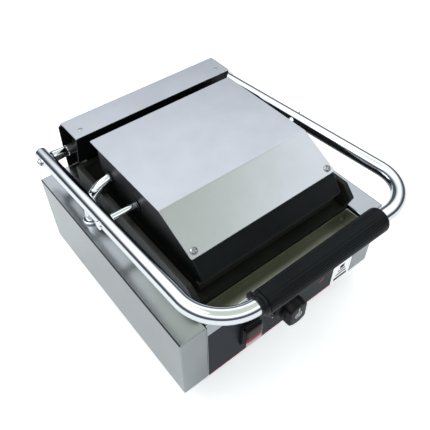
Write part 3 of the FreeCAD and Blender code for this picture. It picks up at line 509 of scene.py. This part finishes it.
def clear_vinyl():
    """Soft clear plastic over the red rocker: pale at its foot with a painted reflection of the floor,
    then red, and dark above.
    """
    material, tree, shader = new_material("clear_vinyl", (0.9, 0.7, 0.72), 0.12,
                                          Specular_IOR_Level=0.2)
    low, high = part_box("switch_boot")
    height = spread(tree, height_in(tree), 0, 1, low.z, high.z)
    # The two pale first stops paint a reflection of the pale floor on the window's foot.
    stops = [(0.0, (0.88, 0.72, 0.75)), (0.22, (0.80, 0.55, 0.60)), (0.36, (0.45, 0.02, 0.05)),
             (0.5, (0.10, 0.004, 0.01)), (0.62, (0.015, 0.006, 0.007)),
             (1.0, (0.012, 0.005, 0.006))]
    tree.links.new(colour_ramp(tree, height, stops), shader.inputs["Base Color"])
    tree.links.new(spread(tree, noise(tree, 0.003, 2), 0.1, 0.18), shader.inputs["Roughness"])
    return material


# Top outer fold of the cheeks, along which the cheek steel has a painted dark reflection.
CHEEK_FOLD = (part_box("right_cheek")[1].x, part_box("right_cheek")[1].z)

MATERIALS = {
    "steel_across": brushed("steel_across", ALONG_X, (0.57, 0.585, 0.615), (0.25, 0.27),
                            0.0000004),
    "steel_back": brushed("steel_back", ALONG_Y, (0.42, 0.44, 0.455), (0.2, 0.26), 0.000001,
                          CHEEK_FOLD),
    "steel_dull": brushed("steel_dull", ALONG_X, (0.44, 0.45, 0.38), (0.34, 0.38), 0.0000004),
    "chrome": chrome(),
    "enamel": grained_black("enamel", (0.004, 0.005, 0.005), (0.34, 0.46), 0.0007, 0.00005, 0.2),
    "iron": grained_black("iron", (0.012, 0.0135, 0.011), (0.38, 0.5), 0.0009, 0.00004),
    "plastic": grained_black("plastic", (0.004, 0.005, 0.006), (0.3, 0.4), 0.0005, 0.00003, 0.2),
    "grip": grained_black("grip", (0.003, 0.004, 0.005), (0.36, 0.46), 0.0005, 0.00002, 0.16),
    "rubber": satin("rubber", (0.02, 0.02, 0.021), (0.7, 0.9), 0.0008, 0.00005),
    "overlay": overlay(),
    # The label paper glows faintly through its emission: painted light, as the label is no lamp.
    "paper_with_painted_glow": satin("paper_with_painted_glow", (0.93, 0.94, 0.95), (0.35, 0.5), Emission_Strength=0.35),
    "white_ink": satin("white_ink", (0.85, 0.87, 0.88), (0.3, 0.4)),
    "red_ink": satin("red_ink", (0.6, 0.01, 0.02), (0.3, 0.4)),
    "lamp_red": lamp_red(),
    "clear_vinyl": clear_vinyl(),
    "zinc": plain_metal("zinc", (0.62, 0.63, 0.64), (0.25, 0.42)),
    "screw_plate": plain_metal("screw_plate", (0.42, 0.43, 0.45), (0.2, 0.32)),
    "sheath": plain_metal("sheath", (0.25, 0.23, 0.22), (0.4, 0.6), 0.004),
    "bronze": plain_metal("bronze", (0.10, 0.08, 0.06), (0.35, 0.5)),
    "porcelain": satin("porcelain", (0.85, 0.83, 0.76), (0.12, 0.2), 0.006),
    "wool": satin("wool", (0.72, 0.68, 0.55), (0.85, 1.0), 0.0025, 0.0008),
    "sleeve": satin("sleeve", (0.22, 0.09, 0.05), (0.6, 0.8), 0.0008, 0.00015),
}


def painted(thing, *names):
    """The object with these materials in its slots."""
    thing.data.materials.clear()
    for name in names:
        thing.data.materials.append(MATERIALS[name])
    return thing


def fitted(thing, body, stands_for=()):
    """A finished piece on its body and the CAD nodes it stands for."""
    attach(thing, body)
    if stands_for:
        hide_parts(*stands_for)
    return thing


# ---------------------------------------------------------------- body of the grill

def sheet_pieces():
    """Folded sheet, castings and mouldings that keep the CAD shape, with rounded edges.

    A row ends with the radius of the edges and, for a thin sheet, of its corners, in millimetres.
    """
    rows = [
        ("left_cheek", "root", "stainless", "steel_back", 1.3),
        ("right_cheek", "root", "stainless", "steel_back", 1.3),
        ("front_panel", "root", "stainless", "steel_across", 1.2),
        ("rear_panel", "root", "stainless", "steel_across", 1.2),
        ("base_pan", "root", "inner_steel", "zinc", 1.0),
        ("control_decal", "root", "decal", "overlay", 0.15),
        ("blank_label", "root", "label", "paper_with_painted_glow", 0.15),
        ("lower_plate", "root", "cast_iron", "iron", 1.6),
        ("grease_trough", "root", "stainless", "steel_dull", 1.0),
        ("hinge_housing", "root", "black_enamel", "enamel", 1.5),
        ("hinge_cover", "root", "stainless", "steel_across", 0.8, 2.0),
        ("hinge_bracket_left", "root", "black_enamel", "enamel", 0.8),
        ("hinge_bracket_right", "root", "black_enamel", "enamel", 0.8),
        ("switch_body", "root", "black_plastic", "plastic", 0.8),
        ("lid_cover", "lid", "stainless", "steel_across", 1.6, 4.0),
        ("lid_frame", "lid", "black_enamel", "enamel", 1.8),
        ("upper_plate", "lid", "cast_iron", "iron", 1.2),
        ("rod_bushes", "lid", "black_plastic", "plastic", 0.5),
        ("switch_rocker", "rocker", "rocker_red", "lamp_red", 0.6),
    ]
    for node, body, slot, finish, *sizes in rows:
        piece = refined(node, *(size * MM for size in sizes))
        fitted(painted(piece, finish), body, [node])


def inner_pieces():
    """Parts inside the casings keep their CAD meshes and take a finish."""
    finishes = {
        "zinc": ["capillary", "thermostat_body", "thermostat_bulb", "plate_rails",
                 "lower_clamp_plate", "upper_clamp_plate", "bracket_bolts", "pivot_shaft",
                 "thermostat_shaft", "foot_screws"],
        "porcelain": ["terminal_block"],
        "sleeve": ["wire_loom"],
        "sheath": ["lower_heating_element", "upper_heating_element"],
        "wool": ["lower_insulation", "upper_insulation"],
        "bronze": ["shaft_bushes"],
    }
    for finish, names in finishes.items():
        for name in names:
            painted(nodes[name], finish)


def screw(name, place, along, radius, height):
    """Domed screw head with a cross recess, its face towards the given direction."""
    head = turned(name, [(-0.3 * height, radius, 0), (0.25 * height, radius, 0.2 * height),
                         (0.85 * height, 0.62 * radius, 0.6 * height), (height, 0.0, 0)],
                  place, along, 40)
    across = along.orthogonal().normalized()
    half = 0.62 * radius
    thin = 0.15 * radius
    deep = 0.7 * height
    outline = [(-deep, -thin), (deep, -thin), (deep, thin), (-deep, thin)]
    for turn in (math.pi / 4, 3 * math.pi / 4):
        direction = Matrix.Rotation(turn, 3, along) @ across
        slot = prism(name + "_slot", outline, place + along * 1.05 * height - direction * half,
                     direction, along, 2 * half)
        cut = head.modifiers.new("cross", "BOOLEAN")
        cut.operation = "DIFFERENCE"
        cut.solver = "EXACT"
        cut.object = slot
        applied(head)
        bpy.data.objects.remove(slot)
    return smooth(head, 40)


def screw_pair(name, node, inset, along, radius, height, sink):
    """Left and right screw head, each an inset from its end of the node's box, sunk by a depth."""
    low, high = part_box(node)
    centre = middle(node) - sink * along
    heads = [screw(name, Vector((x, centre.y, centre.z)), along, radius, height)
             for x in (low.x + inset, high.x - inset)]
    return joined(name + "_heads", heads)


def screws():
    """Cross-head screws of the lid, the hinge cover and the trough."""
    slope = math.radians(26)
    slant = Vector((0, -math.sin(slope), math.cos(slope)))
    lid = screw_pair("lid_screw", "lid_screws", 3.6 * MM, slant, 4.0 * MM, 1.8 * MM, 0.2 * MM)
    fitted(painted(lid, "screw_plate"), "lid", ["lid_screws"])
    cover = screw_pair("cover_screw", "cover_screws", 3 * MM, UP, 2.6 * MM, 0.6 * MM, 0.3 * MM)
    fitted(painted(cover, "zinc"), "root", ["cover_screws"])
    low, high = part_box("trough_screw")
    foot = Vector(((low.x + high.x) / 2, high.y, (low.z + high.z) / 2))
    head = screw("trough_screw_head", foot, -ALONG_Y, (high.x - low.x) / 2, 1.0 * MM)
    fitted(painted(head, "zinc"), "root", ["trough_screw"])


def feet():
    """Four tapered rubber feet, each with a rounded tread and a well for its screw."""
    low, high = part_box("feet")
    radius = 14 * MM
    outline = [(5 * MM, 0, 0), (5 * MM, 4 * MM, 0.4 * MM), (0, 4.4 * MM, 0.5 * MM),
               (0, 12 * MM, 1.6 * MM), (3 * MM, 12.6 * MM, 0.4 * MM), (4 * MM, 12 * MM, 0.4 * MM),
               (5 * MM, 12.7 * MM, 0.4 * MM), (high.z, radius, 0.6 * MM), (high.z, 0, 0)]
    rubbers = [turned("foot", outline, Vector((x, y, 0)), UP, 56)
               for x in (low.x + radius, high.x - radius)
               for y in (low.y + radius, high.y - radius)]
    fitted(painted(joined("rubber_feet", rubbers), "rubber"), "root", ["feet"])


def knurl(distance, angle):
    """Shallow ribs round the thick part of the gland."""
    if 3.6 * MM < distance < 5.8 * MM:
        return -0.35 * MM * (0.5 + 0.5 * math.cos(24 * angle))
    return 0


def cable_gland():
    """Stepped bush at the back with gripping ribs and an empty bore."""
    low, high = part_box("cable_gland")
    depth = high.y - low.y
    mouth = Vector(((low.x + high.x) / 2, high.y, (low.z + high.z) / 2))
    gland = turned("gland", [
        (2 * MM, 0, 0), (2 * MM, 3.9 * MM, 0), (0, 4.4 * MM, 0.4 * MM), (0, 8 * MM, 1.2 * MM),
        (3 * MM, 9 * MM, 0.6 * MM), (3.4 * MM, 11 * MM, 0.5 * MM), (6 * MM, 11 * MM, 0.4 * MM),
        (6 * MM, 7.9 * MM, 0.2 * MM), (depth, 7.9 * MM, 0.5 * MM), (depth, 0, 0)],
        mouth, -ALONG_Y, 96, knurl)
    fitted(painted(gland, "plastic"), "root", ["cable_gland"])


# ---------------------------------------------------------------- controls

def dial_marks():
    """Printed dots round the knob, every other one larger."""
    centre = joints["knob_turn"]
    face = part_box("control_decal")[0].y
    count = 15
    first, gap = 225, 19.3
    ring = 24 * MM
    thick = 0.12 * MM
    marks = []
    for step in range(count):
        angle = math.radians(first - gap * step)
        place = centre + ring * Vector((math.cos(angle), 0, math.sin(angle)))
        place.y = face + PRINT
        size = 0.9 * MM if step % 2 else 1.3 * MM
        marks.append(turned("mark", [(0, size, 0), (thick, size, PRINT), (thick, 0, 0)],
                            place, -ALONG_Y, 20))
    fitted(painted(joined("dial_marks", marks), "white_ink"), "root")


def accent_mark():
    """Short slanting red stroke at the right of the overlay."""
    place = Vector((58.5 * MM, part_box("control_decal")[0].y + PRINT, 57 * MM))
    outline = [(-5 * MM, -2 * MM), (-1 * MM, -2 * MM), (5 * MM, 2 * MM), (1 * MM, 2 * MM)]
    accent = prism("accent_mark", outline, place, -ALONG_Y, ALONG_X, 0.12 * MM)
    fitted(painted(accent, "red_ink"), "root")


def label_print():
    """Plain black blocks that stand for the label's print, as shares of its width and height."""
    low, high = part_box("blank_label")
    width = high.x - low.x
    height = high.z - low.z
    blocks = []
    for left, right, bottom, top in ((0.14, 0.86, 0.10, 0.24), (0.22, 0.78, 0.34, 0.42),
                                     (0.30, 0.70, 0.52, 0.60), (0.38, 0.62, 0.66, 0.86)):
        corner = Vector((low.x + left * width, low.y - 2 * PRINT, low.z + bottom * height))
        far = Vector((low.x + right * width, low.y + PRINT, low.z + top * height))
        blocks.append(bevelled(block("print", corner, far), PRINT))
    fitted(painted(smooth(joined("label_print", blocks)), "plastic"), "root")


def knob_scallops(distance, angle):
    """Grip scallops round the skirt of the knob."""
    if distance < 6 * MM:
        return -0.6 * MM * (0.5 + 0.5 * math.cos(28 * angle)) ** 2
    return 0


def knob_hub(foot, depth, radius):
    """Scalloped skirt with the round hub on it."""
    skirt = radius - 0.4 * MM
    return turned("knob_round", [
        (0, 0, 0), (0, skirt, 0.4 * MM), (4 * MM, skirt, 1.2 * MM),
        (5.5 * MM, radius - 2.6 * MM, 0.8 * MM), (6.5 * MM, 0.80 * radius, 0.8 * MM),
        (0.6 * depth, 0.78 * radius, 1.2 * MM), (0.64 * depth, 0, 0)],
        foot, -ALONG_Y, 140, knob_scallops)


def knob_bar(foot, depth, radius):
    """Broad grip bar: a disc with two flats, whose levels shrink towards its face."""
    sides = 48
    levels = ((4 * MM, 0.87, 0.66), (0.6 * depth, 0.87, 0.65), (depth - 2 * MM, 0.86, 0.63),
              (depth - 0.6 * MM, 0.83, 0.60), (depth - 0.1 * MM, 0.78, 0.56), (depth, 0.72, 0.5))
    points = []
    for distance, length, width in levels:
        for side in range(sides):
            angle = 2 * math.pi * side / sides
            across = max(-width, min(width, length * math.cos(angle)))
            points.append(foot + Vector((across * radius, -distance,
                                         length * math.sin(angle) * radius)))
    faces = end_faces(len(levels), sides) + wall_faces(len(levels), sides)
    return mesh_object("knob_bar", points, faces)


def knob_marks(face):
    """White ring, two short bars in it and the pointer, proud of the knob's face."""
    proud = 0.25 * MM
    ring = turned("knob_ring", [(0, 5.2 * MM, 0), (proud, 5.2 * MM, 0.1 * MM),
                                (proud, 4.2 * MM, 0.1 * MM), (0, 4.2 * MM, 0)],
                  face, -ALONG_Y, 48)
    bars = [block("knob_print", face + Vector((-half, -proud, low)), face + Vector((half, 0, high)))
            for half, low, high in ((2.8 * MM, -1.7 * MM, -0.5 * MM),
                                    (2.8 * MM, 0.5 * MM, 1.7 * MM),
                                    (0.8 * MM, 7.5 * MM, 12.5 * MM))]
    for bar in bars:
        bevelled(bar, 0.1 * MM)
    return smooth(joined("knob_marks", [ring, *bars]))


def control_knob():
    """Skirted thermostat knob with its grip bar and its printed pointer."""
    low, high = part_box("thermostat_knob")
    axis = joints["knob_turn"]
    foot = Vector((axis.x, high.y, axis.z))
    depth = high.y - low.y
    radius = (high.x - low.x) / 2
    knob = joined("control_knob", [knob_hub(foot, depth, radius), knob_bar(foot, depth, radius)])
    fitted(painted(smooth(knob), "plastic"), "knob", ["thermostat_knob"])
    marks = knob_marks(Vector((axis.x, low.y, axis.z)))
    fitted(painted(marks, "white_ink"), "knob", ["knob_pointer"])


def switch_boot():
    """Pleated splash cover over the rocker: dark folds and a clear bulging window.

    A level is its share of the depth, its inset in millimetres, and 1 where the window begins.
    """
    low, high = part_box("switch_boot")
    centre = (low + high) / 2
    width, depth, height = high - low
    corner = 3.2 * MM
    levels = [(0.0, 0.0, 0), (0.10, 0.0, 0), (0.22, 1.3, 0), (0.34, 1.3, 0), (0.46, 0.2, 0),
              (0.58, 0.4, 0), (0.68, 1.6, 0), (0.76, 1.6, 0), (0.84, 1.0, 1), (0.93, 1.8, 1),
              (0.98, 3.4, 1), (1.0, 6.0, 1)]
    points = []
    for rise, inset, _ in levels:
        both = 2 * inset * MM
        for x, z in rounded_rectangle(width - both, height - both, corner):
            points.append(Vector((centre.x + x, high.y - rise * depth, centre.z + z)))
    sides = len(points) // len(levels)
    faces = end_faces(len(levels), sides)[1:] + wall_faces(len(levels), sides)
    clear = [1] + [window for _, _, window in levels[:-1] for _ in range(sides)]
    boot = mesh_object("splash_boot", points, faces)
    painted(boot, "plastic", "clear_vinyl")
    for polygon, window in zip(boot.data.polygons, clear):
        polygon.material_index = window
    wall = boot.modifiers.new("wall", "SOLIDIFY")
    wall.thickness = 0.6 * MM
    wall.offset = -1
    fitted(smooth(boot, 60), "root", ["switch_boot"])


# ---------------------------------------------------------------- hinge and springs

def springs():
    """Close-wound balance springs round the shaft, each with a straight leg to the deck."""
    pivot = joints["handle_lift"]
    wire = 1.1 * MM
    turns = 8.5
    steps = 28
    count = int(turns * steps)
    for node in ("balance_spring_left", "balance_spring_right"):
        low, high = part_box(node)
        radius = (high.y - low.y) / 2 - wire
        path = []
        for i in range(count + 1):
            angle = 2 * math.pi * i / steps
            along = low.x + wire + (high.x - low.x - 2 * wire) * i / (turns * steps)
            path.append(Vector((along, pivot.y + radius * math.cos(angle),
                                pivot.z + radius * math.sin(angle))))
        path.append(path[-1] + Vector((0, 0, -1.2 * MM)))
        path.append(Vector((path[-1].x, path[-1].y, low.z + 0.3 * MM)))
        coil = swept(node + "_coil", path, wire, 12)
        fitted(painted(coil, "zinc"), "root", [node])


def pivot_sleeves():
    """Spacer sleeves on the shaft, inside the arms."""
    pivot = joints["handle_lift"]
    inner = 108 * MM
    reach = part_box("pivot_spacers")[1].x - inner
    radius = 7 * MM
    outline = [(0, 0, 0), (0, radius, 0.6 * MM), (reach, radius, 0.6 * MM), (reach, 0, 0)]
    sleeves = [turned("sleeve", outline, Vector((side * inner, pivot.y, pivot.z)),
                      ALONG_X * side, 48) for side in (-1, 1)]
    fitted(painted(joined("pivot_sleeves", sleeves), "chrome"), "handle",
           ["pivot_spacers"])


def pivot_nuts():
    """Washer, hexagon nut and domed cap outside each arm."""
    pivot = joints["handle_lift"]
    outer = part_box("handle_tube")[1].x
    parts = []
    for side in (-1, 1):
        along = ALONG_X * side
        start = Vector((side * outer, pivot.y, pivot.z))
        washer = turned("washer", [(-1.2 * MM, 0, 0), (-1.2 * MM, 4.8 * MM, 0.1 * MM),
                                   (0.2 * MM, 4.8 * MM, 0.2 * MM), (0.2 * MM, 0, 0)],
                        start, along, 40)
        nut = turned("nut", [(0, 0, 0), (0, 4.6 * MM, 0), (2.2 * MM, 4.6 * MM, 0),
                             (2.2 * MM, 0, 0)], start, along, 6)
        cap = turned("cap", [(2 * MM, 0, 0), (2 * MM, 3.7 * MM, 0.2 * MM),
                             (2.8 * MM, 3.7 * MM, 0.8 * MM), (4 * MM, 2.2 * MM, 0.9 * MM),
                             (4 * MM, 0, 0)], start, along, 40)
        parts += [washer, bevelled(nut, 0.4 * MM), cap]
    fitted(painted(smooth(joined("pivot_nuts", parts)), "chrome"), "handle",
           ["pivot_bolts"])


# ---------------------------------------------------------------- handle

def bent_tube():
    """Chromed tube: two arms, two bends and the cross bar, and a plug in each open end."""
    rod_line = middle("lid_rod_left")
    low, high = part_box("handle_tube")
    radius = 8 * MM
    bend = 49 * MM
    rise = 0.08
    arm = high.x - radius
    forward = Vector((0, -1, rise)).normalized()
    base = Vector((0, rod_line.y, rod_line.z))
    cross = base + forward * ((low.y + radius - rod_line.y) / forward.y)
    tail = base + forward * ((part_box("left_cheek")[1].y - rod_line.y) / forward.y)
    path = []
    for side in (-1, 1):
        beside = ALONG_X * side
        centre = cross + beside * (arm - bend) - forward * bend
        half = [tail + beside * arm] + arc(centre, beside, forward, bend)
        path += half if side < 0 else half[::-1]
    tube = swept("bent_tube", path, radius, 56)
    fitted(painted(tube, "chrome"), "handle", ["handle_tube"])
    shank = 6.4 * MM
    head = 1.9 * MM
    outline = [(-2 * MM, 0, 0), (-2 * MM, shank, 0), (0, shank, 0), (0, radius, 0.3 * MM),
               (head, 7.6 * MM, 1.2 * MM), (head, 0, 0)]
    plugs = [turned("plug", outline, tail + ALONG_X * side * arm, -forward, 48)
             for side in (-1, 1)]
    fitted(painted(joined("tube_end_plugs", plugs), "plastic"), "handle",
           ["tube_plugs"])


def flutes(length):
    """Ripple of fine lengthwise flutes that fade out before both ends of a grip."""
    def ripple(distance, angle):
        from_end = min(distance - 6 * MM, length - 10 * MM - distance)
        fade = min(1.0, max(0.0, from_end / (4 * MM)))
        return -0.4 * MM * fade * (0.5 + 0.5 * math.cos(26 * angle)) ** 4
    return ripple


def grip():
    """Black tapered grip with fine flutes and a domed right end."""
    low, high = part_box("handle_grip")
    centre = middle("handle_grip")
    length = high.x - low.x
    thin = 12.3 * MM
    thick = (high.z - low.z) / 2
    rings = 26
    corners = [(0, 0, 0), (0, thin, 1.2 * MM)]
    for i in range(1, rings):
        share = i / rings
        corners.append((length * (0.02 + 0.93 * share), thin + (thick - thin) * share, 0))
    corners += [(length - 4 * MM, thick, 3.2 * MM), (length, thick - 6 * MM, 3 * MM),
                (length, 0, 0)]
    start = Vector((low.x, centre.y, centre.z))
    handle = turned("fluted_grip", corners, start, ALONG_X, 288, flutes(length))
    fitted(painted(handle, "grip"), "handle", ["handle_grip"])


def grip_collar():
    """Stepped collar at the grip's left end, with its clip behind."""
    low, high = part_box("grip_collar")
    centre = middle("handle_grip")
    start = Vector((low.x, centre.y, centre.z))
    radius = (high.z - low.z) / 2
    collar = turned("collar_ring", [(0, 0, 0), (0, radius - 2 * MM, 0.6 * MM),
                                    (3 * MM, radius - 1.6 * MM, 0.4 * MM),
                                    (3.2 * MM, radius, 0.5 * MM), (6.6 * MM, radius, 0.6 * MM),
                                    (6.8 * MM, 0, 0)], start, ALONG_X, 72)
    corner = start + Vector((0.4 * MM, radius - 5 * MM, -3 * MM))
    size = Vector((5.6 * MM, 7.5 * MM, 6 * MM))
    clip = bevelled(block("collar_clip", corner, corner + size), 0.8 * MM)
    collar = smooth(joined("collar_ring", [collar, clip]))
    fitted(painted(collar, "plastic"), "handle", ["grip_collar"])


def lid_rods():
    """Chromed pins from the arms into the lid, with rounded heads."""
    for side, node in ((-1, "lid_rod_left"), (1, "lid_rod_right")):
        low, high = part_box(node)
        centre = middle(node)
        outer = max(abs(low.x), abs(high.x))
        inner = min(abs(low.x), abs(high.x))
        reach = outer - inner
        neck = reach - 1.6 * MM
        head = (high.z - low.z) / 2
        radius = head - 0.65 * MM
        pin = turned(node + "_pin", [
            (0, 0, 0), (0, radius, 0.5 * MM), (neck, radius, 0), (neck, head, 0.2 * MM),
            (reach - 0.6 * MM, head, 0.5 * MM), (reach, head - 1.4 * MM, 0.6 * MM),
            (reach, 0, 0)], Vector((side * inner, centre.y, centre.z)), ALONG_X * side, 48)
        fitted(painted(pin, "chrome"), "handle", [node])


# ---------------------------------------------------------------- conduit

def conduit():
    """Chromed conduit from the left cheek to the lid, in two lengths.

    The lower one rises along the cheek into the bend, the upper one goes on through the bend to the
    lid.
    """
    low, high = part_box("lid_conduit")
    radius = (high.y - low.y) / 2
    bend = 37 * MM
    foot_x = middle("conduit_ring").x
    top_z = middle("conduit_gland").z
    across = middle("lid_conduit").y
    centre = Vector((foot_x + bend, across, top_z - bend))
    curve = arc(centre, -ALONG_X, UP, bend, 24)
    split = 8
    stem = [Vector((foot_x, across, low.z + (centre.z - low.z) * i / 8)) for i in range(8)]
    lower = swept("conduit_lower", stem + curve[:split + 1], radius, 40)
    upper = swept("conduit_upper", curve[split:] + [Vector((high.x, across, top_z))], radius, 40)
    for piece in (lower, upper):
        painted(piece, "chrome")
    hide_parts("lid_conduit")
    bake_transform(lower)
    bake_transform(upper)


def conduit_ring():
    """Chromed ring where the conduit goes into the cheek."""
    low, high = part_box("conduit_ring")
    centre = (low + high) / 2
    wire = (high.z - low.z) / 2
    radius = (high.x - low.x) / 2 - wire
    sides = 64
    path = []
    for i in range(sides):
        angle = 2 * math.pi * i / sides
        path.append(centre + radius * Vector((math.cos(angle), math.sin(angle), 0)))
    ring = swept("conduit_grommet", path, wire, 20, closed=True)
    fitted(painted(ring, "chrome"), "root", ["conduit_ring"])


def conduit_bush():
    """Black bush where the conduit goes into the lid."""
    low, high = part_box("conduit_gland")
    thick = high.x - low.x
    start = Vector((low.x, middle("lid_conduit").y, middle("conduit_gland").z))
    bush = turned("conduit_bush", [(0, 0, 0), (0, 7 * MM, 0.4 * MM),
                                   (thick, 7.8 * MM, 0.4 * MM), (thick, 0, 0)],
                  start, ALONG_X, 48)
    fitted(painted(bush, "plastic"), "lid", ["conduit_gland"])


# ---------------------------------------------------------------- stage

def world():
    """Soft studio surround, bright overhead and dim at the horizon, and plain white to the camera."""
    scene = bpy.context.scene
    scene.world = bpy.data.worlds.new("studio")
    scene.world.use_nodes = True
    tree = scene.world.node_tree
    stops = [(0.0, (0.10, 0.11, 0.12)), (0.10, (0.05, 0.055, 0.06)), (0.34, (0.05, 0.055, 0.06)),
             (0.5, (0.42, 0.45, 0.49)), (0.64, (0.90, 0.94, 1.0)), (0.79, (0.93, 0.96, 1.0)),
             (0.86, (0.50, 0.55, 0.47)), (1.0, (0.42, 0.47, 0.41))]
    back = tree.nodes["Background"]
    back.inputs["Strength"].default_value = 1.45
    tree.links.new(colour_ramp(tree, height_in(tree, "Generated"), stops), back.inputs["Color"])
    seen = tree.nodes.new("ShaderNodeBackground")
    seen.inputs["Color"].default_value = (1, 1, 1, 1)
    either = tree.nodes.new("ShaderNodeMixShader")
    ray = tree.nodes.new("ShaderNodeLightPath")
    tree.links.new(ray.outputs["Is Camera Ray"], either.inputs["Fac"])
    tree.links.new(back.outputs["Background"], either.inputs[1])
    tree.links.new(seen.outputs["Background"], either.inputs[2])
    tree.links.new(either.outputs["Shader"], tree.nodes["World Output"].inputs["Surface"])


def floor():
    """Plain pale floor, brighter to the camera than to the object."""
    half = 3.0
    ground = mesh_object("floor", [Vector((x, y, 0)) for x, y in
                                   ((-half, -half), (half, -half), (half, half), (-half, half))],
                         [(0, 1, 2, 3)])
    material, tree, shader = new_material("floor", (0.86, 0.87, 0.88), 0.9)
    shader.inputs["Emission Color"].default_value = (1, 1, 1, 1)
    ray = tree.nodes.new("ShaderNodeLightPath")
    glow = spread(tree, ray.outputs["Is Camera Ray"], 0.12, 0.5, 0, 1)
    tree.links.new(glow, shader.inputs["Emission Strength"])
    ground.data.materials.append(material)


def key_lamp():
    """Large soft lamp above and behind the left side, aimed at the grill."""
    place = Vector((-0.7, 0.5, 1.5))
    target = Vector((0, 0, 0.1))
    lamp = bpy.data.lights.new("key", "AREA")
    lamp.shape = "RECTANGLE"
    lamp.size = 0.9
    lamp.size_y = 0.9
    lamp.energy = 6
    holder = bpy.data.objects.new("key", lamp)
    bpy.context.scene.collection.objects.link(holder)
    holder.location = place
    holder.rotation_euler = (target - place).to_track_quat("-Z", "Y").to_euler()


def camera():
    """Camera above the front left corner, looking down at the grill."""
    place = Vector((-0.2665, -0.3314, 0.57996))
    azimuth, elevation, roll = (math.radians(angle) for angle in (38.089, 47.936, -0.584))
    lens = bpy.data.cameras.new("camera")
    lens.lens = 44.55
    lens.sensor_width = 36
    lens.clip_start = 0.01
    holder = bpy.data.objects.new("camera", lens)
    bpy.context.scene.collection.objects.link(holder)
    turn = (Matrix.Rotation(-azimuth, 4, "Z") @ Matrix.Rotation(math.pi / 2 - elevation, 4, "X")
            @ Matrix.Rotation(roll, 4, "Z"))
    holder.matrix_world = Matrix.Translation(place) @ turn
    bpy.context.scene.camera = holder


sheet_pieces()
inner_pieces()
screws()
feet()
cable_gland()
dial_marks()
accent_mark()
label_print()
control_knob()
switch_boot()
springs()
pivot_sleeves()
pivot_nuts()
bent_tube()
grip()
grip_collar()
lid_rods()
conduit()
conduit_ring()
conduit_bush()
world()
floor()
key_lamp()
camera()
bpy.context.scene.view_settings.view_transform = "Standard"
